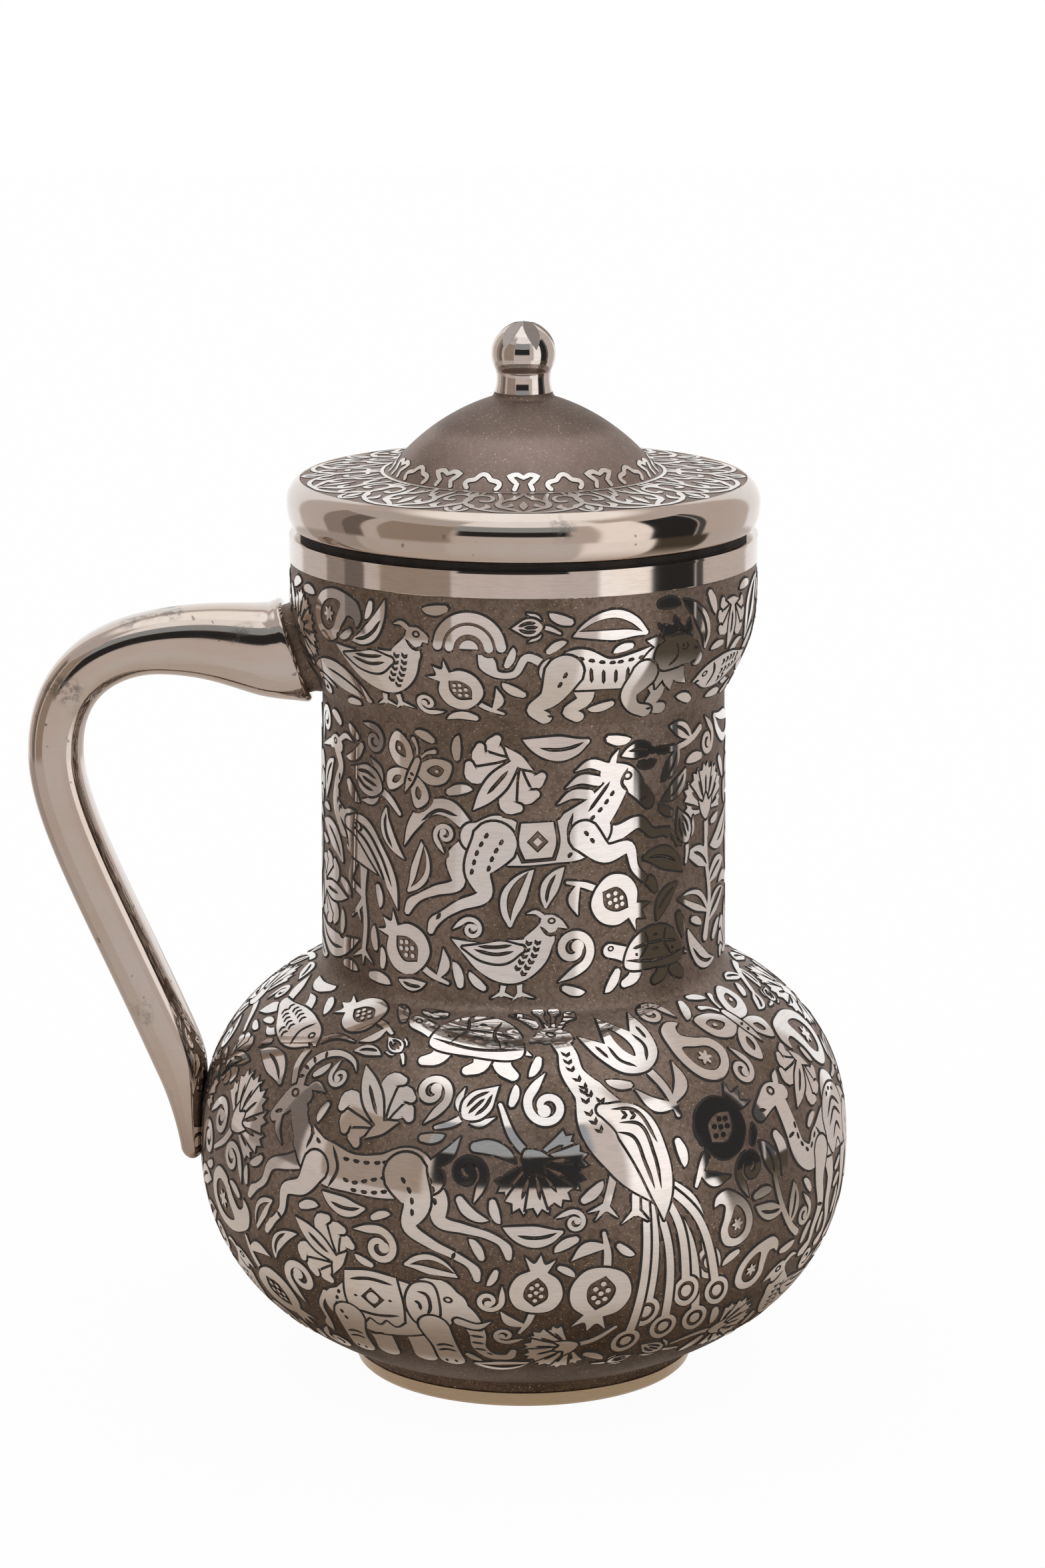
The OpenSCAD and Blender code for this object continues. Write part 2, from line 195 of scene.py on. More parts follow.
@dataclass(frozen=True)
class PlatinumLustre:
    """Polished glass under a thin film of platinum: a mirror with a warm grey tint.

    Attributes:
        name: The material's name.
        colour: The film's reflection colour.
        roughness: The polish, before wear.
        ripple: Height of the slow unevenness of hand-worked glass, in metres.
        streak: What the colour is multiplied by along polishing streaks.
        worn: What the colour is multiplied by in rubbed spots and specks.
        low: What the colour is multiplied by at the handle's tail: a painted dark reflection.
    """

    name: str = "platinum_lustre"
    colour: Colour = (0.66, 0.60, 0.56)
    roughness: float = 0.06
    ripple: float = 0.00006
    streak: float = 0.94
    worn: float = 1.0
    low: Colour = (1.0, 1.0, 1.0)

    def make(self) -> Material:
        """Returns the material."""
        material, nodes, place = new_material(self.name)
        cloud = nodes.noise(place, 55.0, 3.0, 0.55)
        warmer = tuple(c * k for c, k in zip(self.colour, (0.97, 0.94, 0.90)))
        tint = nodes.blend(nodes.smooth(cloud, 0.35, 0.7), self.colour, warmer)
        along = nodes.add("Mapping", Vector=place, Scale=(260.0, 260.0, 2400.0)).outputs[0]
        streaks = nodes.noise(along, 1.0, 2.0, 0.6)
        tint = nodes.blend(nodes.smooth(streaks, 0.44, 0.62), tint, (self.streak,) * 3, "MULTIPLY")
        polish = nodes.math("MULTIPLY_ADD", nodes.smooth(streaks, 0.62, 0.8), 0.05, self.roughness)
        polish = nodes.math("MULTIPLY_ADD", nodes.smooth(cloud, 0.45, 0.75), 0.05, polish)
        if self.worn < 1.0:
            rubbed = nodes.smooth(nodes.noise(place, 46.0), 0.63, 0.70)
            grain = nodes.smooth(nodes.noise(place, 620.0, 3.0, 0.7), 0.40, 0.60)
            specks = nodes.smooth(nodes.noise(place, 380.0, 1.0), 0.74, 0.78)
            rubbed = nodes.math("MAXIMUM", nodes.math("MULTIPLY", rubbed, grain), specks)
            tint = nodes.blend(rubbed, tint, (self.worn,) * 3, "MULTIPLY")
            polish = nodes.math("MULTIPLY_ADD", rubbed, 0.20, polish)
            # Painted reflection: the tail is darkened below a height, for the dark reflection that it shows.
            tail = nodes.smooth(nodes.height(place), 0.072, 0.050)
            tint = nodes.blend(tail, tint, self.low, "MULTIPLY")
        nodes.surface(tint, 1.0, polish, nodes.noise(place, 42.0, 1.0, 0.4), 1.0, self.ripple)
        return material


@dataclass(frozen=True)
class ShadedEdge:
    """The near-black finish of the figures' sloping edges and cuts, and of the lid's gap over the rim: painted
    shade for the shadow in these steps, grooves and gap.

    Attributes:
        name: The material's name.
        colour: The usual colour of the line.
        lighter: Its colour where the film is thicker.
    """

    name: str = "edge_shade"
    # Painted shade: near-black where the steps, cuts and gap lie in shadow.
    colour: Colour = (0.012, 0.009, 0.007)
    lighter: Colour = (0.032, 0.023, 0.018)

    def make(self) -> Material:
        """Returns the material."""
        material, nodes, place = new_material(self.name)
        patches = nodes.smooth(nodes.noise(place, 160.0, 3.0, 0.6), 0.35, 0.75)
        base = nodes.blend(patches, self.colour, self.lighter)
        nodes.surface(base, 0.0, 0.7, nodes.noise(place, 1500.0, 2.0, 0.6), 0.4, 0.00005)
        return material


@dataclass(frozen=True)
class EtchedGround:
    """Acid-etched glass under the film: matt brown-grey with a fine sparkle.

    Attributes:
        name: The material's name.
        colour: The usual colour of the ground.
        shade: Its colour in the deeper, browner patches.
        pit: What the colour is multiplied by in the finer hollows.
        sparkle: The colour of single bright grains.
        low: What the colour is multiplied by in its painted shade.
        painted_shade_z: Heights between which that begins and is full.
        roughness: The matt ground's roughness.
    """

    name: str = "etched_ground"
    colour: Colour = (0.262, 0.200, 0.166)
    shade: Colour = (0.175, 0.127, 0.095)
    pit: Colour = (0.70, 0.67, 0.64)
    sparkle: Colour = (0.72, 0.58, 0.43)
    low: Colour = (0.50, 0.43, 0.36)
    painted_shade_z: Point = (0.064, 0.026)
    roughness: float = 0.52

    def make(self) -> Material:
        """Returns the material."""
        material, nodes, place = new_material(self.name)
        patches = nodes.smooth(nodes.noise(place, 38.0, 4.0, 0.6), 0.35, 0.68)
        base = nodes.blend(patches, self.colour, self.shade)
        # Painted shade: the colour is darkened by low between two heights, towards the foot on the jug and up by
        # the knob on the lid.
        base = nodes.blend(nodes.smooth(nodes.height(place), *self.painted_shade_z), base, self.low, "MULTIPLY")
        hollows = nodes.smooth(nodes.noise(place, 800.0, 3.0, 0.7), 0.42, 0.66)
        base = nodes.blend(hollows, base, self.pit, "MULTIPLY")
        grain = nodes.noise(place, 2300.0, 2.0, 0.7)
        base = nodes.blend(nodes.smooth(grain, 0.62, 0.74), base, self.sparkle)
        rough = nodes.math("MULTIPLY_ADD", patches, 0.06, self.roughness)
        nodes.surface(base, 0.85, rough, nodes.noise(place, 1700.0, 3.0, 0.65), 0.5, 0.00006)
        return material


@dataclass(frozen=True)
class Finishes:
    """The finishes of the jug, each made once."""

    ground: Material
    lid_ground: Material
    edge: Material
    polish: Material
    foot: Material
    figures: Material
    drawn: Material
    fine: Material
    facet: Material

    @classmethod
    def make(cls) -> "Finishes":
        """Makes them all."""
        # Painted light and shade: the jug's ground darkens towards the foot; the lid's ground is lighter and a
        # little pinker, painted light on the upward-facing dome, and darker again by the knob.
        lid_lit_tones = ((0.292, 0.226, 0.198), (0.215, 0.160, 0.132), (0.93, 0.92, 0.91))
        kinds = (
            EtchedGround(),
            EtchedGround("etched_lid", *lid_lit_tones, low=(0.70, 0.68, 0.66), painted_shade_z=(0.2252, 0.2276)),
            ShadedEdge(),
            PlatinumLustre(),
            # The foot band's darker, browner lustre: partly the band's own browner film, partly painted shade for
            # the shadowed table that it reflects.
            PlatinumLustre("foot_lustre", (0.46, 0.365, 0.255), 0.12),
            PlatinumLustre("figure_lustre", (0.76, 0.72, 0.70), 0.045, streak=0.93),
            # The handle's rubbed spots and specks are wear; its darker tail is a painted dark reflection.
            PlatinumLustre("drawn_lustre", (0.60, 0.53, 0.485), 0.06, 0.0002, 0.98, 0.55, (0.74, 0.68, 0.63)),
            PlatinumLustre("fine_lustre", (0.80, 0.76, 0.73), 0.3),
            PlatinumLustre("facet_lustre", (0.36, 0.33, 0.315), 0.2),
        )
        return cls(*(kind.make() for kind in kinds))


# --- Mesh helpers --------------------------------------------------------------------------------


def linked(name: str, mesh: bpy.types.Mesh, *materials: Material) -> Piece:
    """Returns a new object of a mesh with those materials."""
    for material in materials:
        mesh.materials.append(material)
    piece = bpy.data.objects.new(name, mesh)
    bpy.context.scene.collection.objects.link(piece)
    return piece


def add_object(name: str, maker: bmesh.types.BMesh, *materials: Material) -> Piece:
    """Turns a bmesh, in metres, into an object, and frees it."""
    mesh = bpy.data.meshes.new(name)
    maker.to_mesh(mesh)
    maker.free()
    return linked(name, mesh, *materials)


def present(piece: Piece, body: str, node: str = "") -> Piece:
    """Says which body a piece rides on, and the CAD node that it replaces if any."""
    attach(piece, body)
    if node:
        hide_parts(node)
    return piece


def smooth_shade(maker: bmesh.types.BMesh, sharp_angle: float = 28.0) -> None:
    """Shades all faces smooth and marks the edges sharper than an angle in degrees."""
    for face in maker.faces:
        face.smooth = True
    for edge in maker.edges:
        if len(edge.link_faces) == 2:
            edge.smooth = edge.calc_face_angle(0.0) < math.radians(sharp_angle)


def whole(maker: bmesh.types.BMesh) -> list[bmesh.types.BMVert | bmesh.types.BMEdge | bmesh.types.BMFace]:
    """Returns all that a bmesh has."""
    return maker.verts[:] + maker.edges[:] + maker.faces[:]


def spin(
    maker: bmesh.types.BMesh, angle: float, count: int, closed: bool = False, copies: bool = False
) -> None:
    """Spins all that a bmesh has about the jug's axis, by an angle in radians."""
    bmesh.ops.spin(
        maker, geom=whole(maker), cent=(0, 0, 0), axis=(0, 0, 1), angle=angle, steps=count,
        use_merge=closed, use_duplicate=copies,
    )


def supported(outline: Sequence[Point], reach: float = 0.25, corner: float = 8.0) -> list[Point]:
    """Returns a closed outline with a point added on the long lines next to its corners.

    Args:
        outline: The outline's corners.
        reach: Distance of the added points from the corner, in millimetres.
        corner: The least turn in degrees that counts as a corner.
    """
    points = np.array(outline)
    ahead = np.roll(points, -1, axis=0) - points
    length = np.linalg.norm(ahead, axis=1)
    heading = np.degrees(np.arctan2(ahead[:, 1], ahead[:, 0]))
    bend = abs((heading - np.roll(heading, 1) + 180) % 360 - 180) > corner
    made = []
    for i, point in enumerate(points):
        made.append(tuple(point))
        if length[i] > 4 * reach and i < len(points) - 1:
            step = ahead[i] / length[i] * reach
            made += [tuple(point + step)] if bend[i] else []
            made += [tuple(point + ahead[i] - step)] if bend[i + 1] else []
    return made


def profile(maker: bmesh.types.BMesh, outline: Sequence[Point], closed: bool = False) -> None:
    """Adds an outline of radii and heights in millimetres to a bmesh, as edges."""
    corners = [maker.verts.new((r * MM, 0.0, z * MM)) for r, z in outline]
    for start, end in zip(corners, corners[1:] + corners[:1] * closed):
        maker.edges.new((start, end))


def turned(name: str, outline: Sequence[Point], material: Material, turns: int = 128) -> Piece:
    """Spins a closed outline about the jug's axis.

    Args:
        name: The piece's name.
        outline: Radius and height of each corner, in millimetres. A first and last point on the
            axis leave the outline open there.
        material: The piece's finish.
        turns: Steps round the axis.
    """
    maker = bmesh.new()
    profile(maker, supported(outline), outline[0][0] > 1e-6 or outline[-1][0] > 1e-6)
    spin(maker, math.tau, turns, closed=True)
    bmesh.ops.remove_doubles(maker, verts=maker.verts[:], dist=1e-7)
    bmesh.ops.recalc_face_normals(maker, faces=maker.faces[:])
    smooth_shade(maker)
    return add_object(name, maker, material)


def swept(name: str, rings: Sequence[np.ndarray], material: Material, sharp_angle: float = 40.0) -> Piece:
    """Extrudes a closed ring of points through a row of rings and caps both ends.

    Args:
        name: The piece's name.
        rings: Arrays of points in millimetres, all of one length.
        material: The piece's finish.
        sharp_angle: Edges sharper than this, in degrees, stay crisp.
    """
    maker = bmesh.new()
    count = len(rings[0])
    made = bmesh.ops.create_circle(maker, cap_ends=True, segments=count, radius=MM)
    loop = sorted(made["verts"], key=lambda v: math.atan2(v.co.y, v.co.x) % math.tau)
    for vertex, place in zip(loop, rings[0]):
        vertex.co = place * MM
    for ring in rings[1:]:
        edges = [maker.edges.get((loop[i], loop[(i + 1) % count])) for i in range(count)]
        grown_on = bmesh.ops.extrude_edge_only(maker, edges=edges)["geom"]
        fresh = {v for v in grown_on if isinstance(v, bmesh.types.BMVert)}
        loop = [next(e.other_vert(v) for e in v.link_edges if e.other_vert(v) in fresh) for v in loop]
        for vertex, place in zip(loop, ring):
            vertex.co = place * MM
    bmesh.ops.contextual_create(maker, geom=loop)
    bmesh.ops.recalc_face_normals(maker, faces=maker.faces[:])
    smooth_shade(maker, sharp_angle)
    return add_object(name, maker, material)


# --- Vessel and foot -----------------------------------------------------------------------------


@dataclass
class Vessel:
    """The blown bulb, neck and collar, with its polished rim band.

    The radii are those of the polished surfaces, and the etched ground lies etch below them.
    """

    bulb_r: float = 77.5
    bulb_mid_z: float = 55.0
    bulb_top_h: float = 51.3
    bulb_bottom_h: float = 55.2
    shoulder_power: float = 2.4
    belly_power: float = 2.25
    wall: float = 4.0
    etch: float = 0.3
    neck_foot_r: float = 48.0
    neck_top_r: float = 47.6
    neck_h: float = 65.7
    neck_fillet: float = 2.2
    collar_r: float = 54.8
    flare_h: float = 22.0
    flare_cone: float = 0.41
    collar_h: float = 15.1
    rim_band_h: float = 6.2
    rim_wall: float = 4.5
    rim_bevel: float = 0.55
    base_z: float = 4.2
    base_wall: float = 5.0
    floor_r: float = 26.0
    foot_top_r: float = 41.8

    def __post_init__(self) -> None:
        """Works out the heights, each built on the one below."""
        ground = self.bulb_r - self.etch
        self.foot_join_z = self.bulb_mid_z - oval_height(
            ground, self.bulb_bottom_h, self.belly_power, self.foot_top_r
        )
        self.neck_z = self.bulb_mid_z + oval_height(
            ground, self.bulb_top_h, self.shoulder_power, self.neck_foot_r - self.etch
        )
        self.flare_z = self.neck_z + self.neck_h
        self.collar_z = self.flare_z + self.flare_h
        self.rim_z = self.collar_z + self.collar_h
        self.band_z = self.rim_z - self.rim_band_h
        self.mouth_r = self.collar_r - self.rim_wall

    def bulb_radius(self, z: float) -> float:
        """Returns the ground's radius on the bulb at a height."""
        upper = z > self.bulb_mid_z
        half = self.bulb_top_h if upper else self.bulb_bottom_h
        power = self.shoulder_power if upper else self.belly_power
        return oval_radius(self.bulb_r - self.etch, half, power, z - self.bulb_mid_z)

    def flare_share(self, t: float) -> float:
        """Returns the share of the flare's widening at a share of its height."""
        slope = 2 / (1 + self.flare_cone)
        if t < self.flare_cone:
            return slope * t
        return 1 - slope * (1 - t) ** 2 / (1 - self.flare_cone) / 2

    def neck_radius(self, z: float) -> float:
        """Returns the ground's radius on the neck and the collar at a height."""
        low, high = self.neck_top_r - self.etch, self.collar_r - self.etch
        if z < self.flare_z:
            return mix(self.neck_foot_r - self.etch, low, (z - self.neck_z) / self.neck_h)
        return mix(low, high, self.flare_share(min(1.0, (z - self.flare_z) / self.flare_h)))

    def oval_arc(self, a: float, b: float, power: float, radius: float, way: int, count: int) -> list[Point]:
        """Returns a superellipse from its widest point to a radius, up (way 1) or down (-1)."""
        last = math.asin((oval_height(a, b, power, radius) / b) ** (power / 2))
        return [
            (a * math.cos(last * s) ** (2 / power),
             self.bulb_mid_z + way * b * math.sin(last * s) ** (2 / power))
            for s in steps(count)
        ]

    def bulb_outline(self) -> list[Point]:
        """Returns the ground's outline from the foot to the top of the fillet under the neck."""
        a = self.bulb_r - self.etch
        foot_r = self.neck_foot_r - self.etch
        start_r = foot_r + self.neck_fillet
        start = (start_r, self.bulb_mid_z + oval_height(a, self.bulb_top_h, self.shoulder_power, start_r))
        bends = (start, (foot_r, self.neck_z), (foot_r, self.neck_z + self.neck_fillet))
        fillet = [tuple(mix(mix(p, q, s), mix(q, r, s), s) for p, q, r in zip(*bends)) for s in steps(8)]
        low = self.oval_arc(a, self.bulb_bottom_h, self.belly_power, self.foot_top_r, -1, 44)
        high = self.oval_arc(a, self.bulb_top_h, self.shoulder_power, start_r + 0.3, 1, 52)
        return low[::-1] + high[1:] + fillet

    def neck_outline(self) -> list[Point]:
        """Returns the ground's outline from the neck's foot to the rim band."""
        heights = [mix(self.neck_z + self.neck_fillet + 1, self.flare_z, s) for s in steps(24)]
        heights += [mix(self.flare_z, self.collar_z, s) for s in steps(22)][1:]
        heights += [mix(self.collar_z, self.band_z, s) for s in steps(4)][1:]
        return [(self.neck_radius(z), z) for z in heights]

    def inside_outline(self) -> list[Point]:
        """Returns the outline of the space inside, from the rim down to the floor's middle."""
        a, top_h = self.bulb_r - self.wall, self.bulb_top_h - self.wall
        low_h = self.bulb_mid_z - self.base_z - self.base_wall
        low = self.oval_arc(a, low_h, self.belly_power, self.floor_r, -1, 20)
        high = self.oval_arc(a, top_h, self.shoulder_power, self.neck_foot_r - self.wall, 1, 20)
        flare = [
            (mix(self.neck_top_r - self.wall, self.mouth_r, self.flare_share(s)),
             mix(self.flare_z + self.wall / 2, self.collar_z, s))
            for s in steps(16)
        ]
        return ([(0.0, self.base_z + self.base_wall)] + low[::-1] + high[1:] + flare)[::-1]

    def build(self, looks: Finishes) -> list[Piece]:
        """Makes the etched wall and the polished rim band, which stand for the CAD vessel."""
        proud, inner, bevel = self.collar_r, self.mouth_r, self.rim_bevel
        wall = (
            [(0.0, self.base_z), (self.foot_top_r - self.foot_join_z + self.base_z, self.base_z)]
            + self.bulb_outline() + self.neck_outline()
            + [(proud - self.etch, self.band_z + 1.0), (inner, self.band_z + 1.0)] + self.inside_outline()
        )
        band = [
            (proud - self.etch - 0.1, self.band_z), (proud - 0.12, self.band_z), (proud, self.band_z + 0.15),
            (proud, self.rim_z - bevel), (proud - 0.1, self.rim_z - 0.1), (proud - bevel, self.rim_z),
            (inner + bevel, self.rim_z), (inner - 0.02, self.rim_z - bevel), (inner - 0.02, self.band_z),
            (inner + 1.0, self.band_z),
        ]
        return [
            present(turned("vessel_ground", wall, looks.ground), "jug", "vessel"),
            present(turned("rim_band", band, looks.polish), "jug"),
        ]


@dataclass
class Foot:
    """The applied foot, matt above a polished band that runs round its lower edge."""

    vessel: Vessel
    bottom_r: float = 40.2
    bevel: float = 0.8
    band_top: float = 3.8
    ring_w: float = 6.5
    hollow: float = 2.2

    def radius(self, z: float) -> float:
        """Returns the foot's polished radius at a height."""
        return mix(self.bottom_r, self.vessel.foot_top_r, z / self.vessel.foot_join_z)

    def build(self, looks: Finishes) -> list[Piece]:
        """Makes the matt foot with its resting ring, and its polished band."""
        top, etch, edge_r = self.vessel.foot_join_z, self.vessel.etch, self.radius(self.band_top)
        ring_r, top_r = self.bottom_r - self.ring_w, self.vessel.foot_top_r
        disc = [
            (0.0, self.hollow), (ring_r - self.hollow, self.hollow), (ring_r, 0.0),
            (self.bottom_r - self.bevel - 0.2, 0.0), (self.bottom_r - etch, self.bevel),
            (edge_r - etch, self.band_top), (self.radius(top - 0.8) - etch, top - 0.8), (top_r - 0.05, top),
            (top_r - 3.0, top - 0.6), (0.0, self.vessel.base_z - 0.05),
        ]
        band = [
            (self.bottom_r - self.bevel, 0.0), (self.bottom_r - 0.12, self.bevel - 0.15),
            (self.bottom_r, self.bevel), (self.radius(self.band_top - 0.12), self.band_top - 0.12),
            (edge_r - 0.12, self.band_top), (edge_r - 2.0, self.band_top), (self.bottom_r - 2.5, 0.0),
        ]
        return [
            present(turned("foot_ground", disc, looks.ground), "jug", "foot"),
            present(turned("foot_band", band, looks.foot), "jug"),
        ]


# --- Handle --------------------------------------------------------------------------------------


@dataclass
class Handle:
    """The drawn solid handle: a flared end on the collar, a turn, a grip and a pressed-on tail."""

    vessel: Vessel
    reach: float = 110.6
    grip_drop: float = 52.6
    grip_t: float = 12.9
    grip_w: float = 15.6
    pad_h: float = 25.0
    pad_w: float = 22.0
    pad_round: float = 1.2
    pad_rise: float = 9.8
    seat_t: float = 2.3
    seat_inset: float = 0.7
    power: float = 2.7
    tail_top_z: float = 72.0
    tail_h: float = 22.0
    tail_t: float = 5.8
    tail_w: float = 14.5
    tail_sink: float = 0.8
    arm_end: float = 0.55
    arm_rise: float = 1.75
    arm_dip: float = 4.5
    pad_pull: float = 7.0
    arm_pull: float = 17.0
    turn_pull: float = 26.0
    grip_pull: float = 15.5
    drop_lean: float = 22.6
    drop_pull: float = 42.0
    sides: int = 72

    def __post_init__(self) -> None:
        """Sets the flared end parallel to the collar's wall and works out the centre line."""
        jug = self.vessel
        pad_z = jug.flare_z + self.pad_rise
        self.face_h = self.pad_h - 2 * self.pad_round
        self.face_w = self.pad_w - 2 * self.pad_round
        heights = (pad_z + self.face_h / 2, pad_z - self.face_h / 2)
        top, bottom = (np.array([-jug.neck_radius(z), z]) for z in heights)
        up = (top - bottom) / np.linalg.norm(top - bottom)
        self.pad_out = np.array([-up[1], up[0]])
        self.pad_centre = (top + bottom) / 2 + self.seat_t * self.pad_out
        self.trace()

    def tail_point(self, z: float) -> tuple[float, float, float]:
        """Returns the tail's centre line and thickness at a height."""
        thin = 1 - (1 - (self.tail_top_z - z) / self.tail_h) ** 2
        thickness = mix(self.grip_t, self.tail_t, thin)
        return -(self.vessel.bulb_radius(z) + thickness / 2 - self.tail_sink * thin), z, thickness

    def trace(self) -> None:
        """Works out the centre line, thickness and width at many stations, evened out a little."""
        grip = np.array([-self.reach, self.vessel.rim_z - self.grip_drop])
        pad = self.pad_centre
        arm_top = np.array([mix(pad[0], grip[0], self.arm_end), pad[1] + self.arm_rise])
        dip, lean = math.radians(self.arm_dip), math.radians(self.drop_lean)
        arm_dir = np.array([-math.cos(dip), -math.sin(dip)])
        drop_dir = np.array([math.sin(lean), -math.cos(lean)])
        tail = np.array(self.tail_point(self.tail_top_z)[:2])
        down = np.array([0.0, 1.0])
        arm = cubic(pad, pad + self.pad_pull * self.pad_out, arm_top - self.arm_pull * arm_dir, arm_top, 40)
        turn = cubic(arm_top, arm_top + arm_dir, grip + self.turn_pull * down, grip, 48)
        drop = cubic(grip, grip - self.grip_pull * down, tail - self.drop_pull * drop_dir, tail, 70)
        end_z = self.tail_top_z - self.tail_h + self.tail_t / 2
        arm_t = (self.pad_h + 4 * self.grip_t) / 5
        rows = [
            (*p, mix(self.pad_h, arm_t, s), mix(self.pad_w, self.grip_w, s * s * (3 - 2 * s)))
            for p, s in zip(arm, steps(40))
        ]
        rows += [
            (*p, mix(self.grip_t, arm_t, (1 - s) ** 2), self.grip_w) for p, s in zip(turn, steps(48))
        ][1:]
        rows += [(*p, self.grip_t, self.grip_w) for p in drop][1:]
        rows += [
            (*self.tail_point(mix(self.tail_top_z, end_z, s)), mix(self.grip_w, self.tail_w, s))
            for s in steps(20)
        ][1:]
        self.stations = self.evened(np.array(rows))

    @staticmethod
    def evened(rows: np.ndarray, gap: float = 1.3, passes: int = 14) -> np.ndarray:
        """Returns the rows at an even gap along the line, smoothed but for their ends."""
        run = runs(rows)
        even = np.linspace(0, run[-1], int(run[-1] / gap))
        line = np.stack([np.interp(even, run, rows[:, k]) for k in range(rows.shape[1])], axis=1)
        for _ in range(passes):
            line[2:-2] = (line[1:-3] + line[2:-2] * 2 + line[3:-1]) / 4
        return line

    def ring(self, station: np.ndarray, along: np.ndarray, grow: float = 0, shift: float = 0) -> np.ndarray:
        """Returns one superellipse ring in space, grown and moved along its heading."""
        a = np.linspace(0, math.tau, self.sides, endpoint=False)
        c, s, k = np.cos(a), np.sin(a), 2 / self.power
        half_t, half_w = (station[2] + grow) / 2, (station[3] + grow) / 2
        across, wide = half_t * np.sign(c) * abs(c) ** k, half_w * np.sign(s) * abs(s) ** k
        middle = station[:2] + shift * along
        return np.stack([middle[0] + across * along[1], wide, middle[1] - across * along[0]], 1)

    def build(self, looks: Finishes) -> list[Piece]:
        """Makes the handle, and the matt seat that joins it to the collar."""
        line = self.stations
        blend = np.clip(1 - np.arange(len(line)) / 6, 0, 1)[:, None]
        heads = unit(unit(np.gradient(line[:, :2], axis=0)) * (1 - blend) + self.pad_out * blend)
        edge, tip = self.pad_round, self.tail_t / 2
        rings = [
            self.ring(line[0], heads[0], -2 * edge * (1 - math.sin(a)), edge * (1 - math.cos(a)))
            for a in np.radians([0, 15, 30, 45, 60, 75, 90])
        ]
        rings += [self.ring(line[i], heads[i]) for i in range(2, len(line))]
        rings += [
            self.ring(line[-1], heads[-1], -self.tail_t * (1 - math.cos(a)), tip * math.sin(a))
            for a in np.radians([12, 24, 36, 48, 60, 70, 78, 84])
        ]
        inset = 2 * self.seat_inset
        station = np.array([*self.pad_centre, self.face_h - inset, self.face_w - inset])
        reach = [(0.02, 0.0), (-0.6, 0.05), (-1.2, 0.2), (-1.7, 0.5), (-2.2, 1.0), (-4.5, 2.0)]
        seat = [self.ring(station, self.pad_out, grow, shift) for shift, grow in reach]
        return [
            present(swept("handle_drawn", rings, looks.drawn), "jug", "handle"),
            present(swept("handle_seat_pad", seat, looks.ground), "jug", "handle_seat"),
        ]


# --- Lid and knob --------------------------------------------------------------------------------


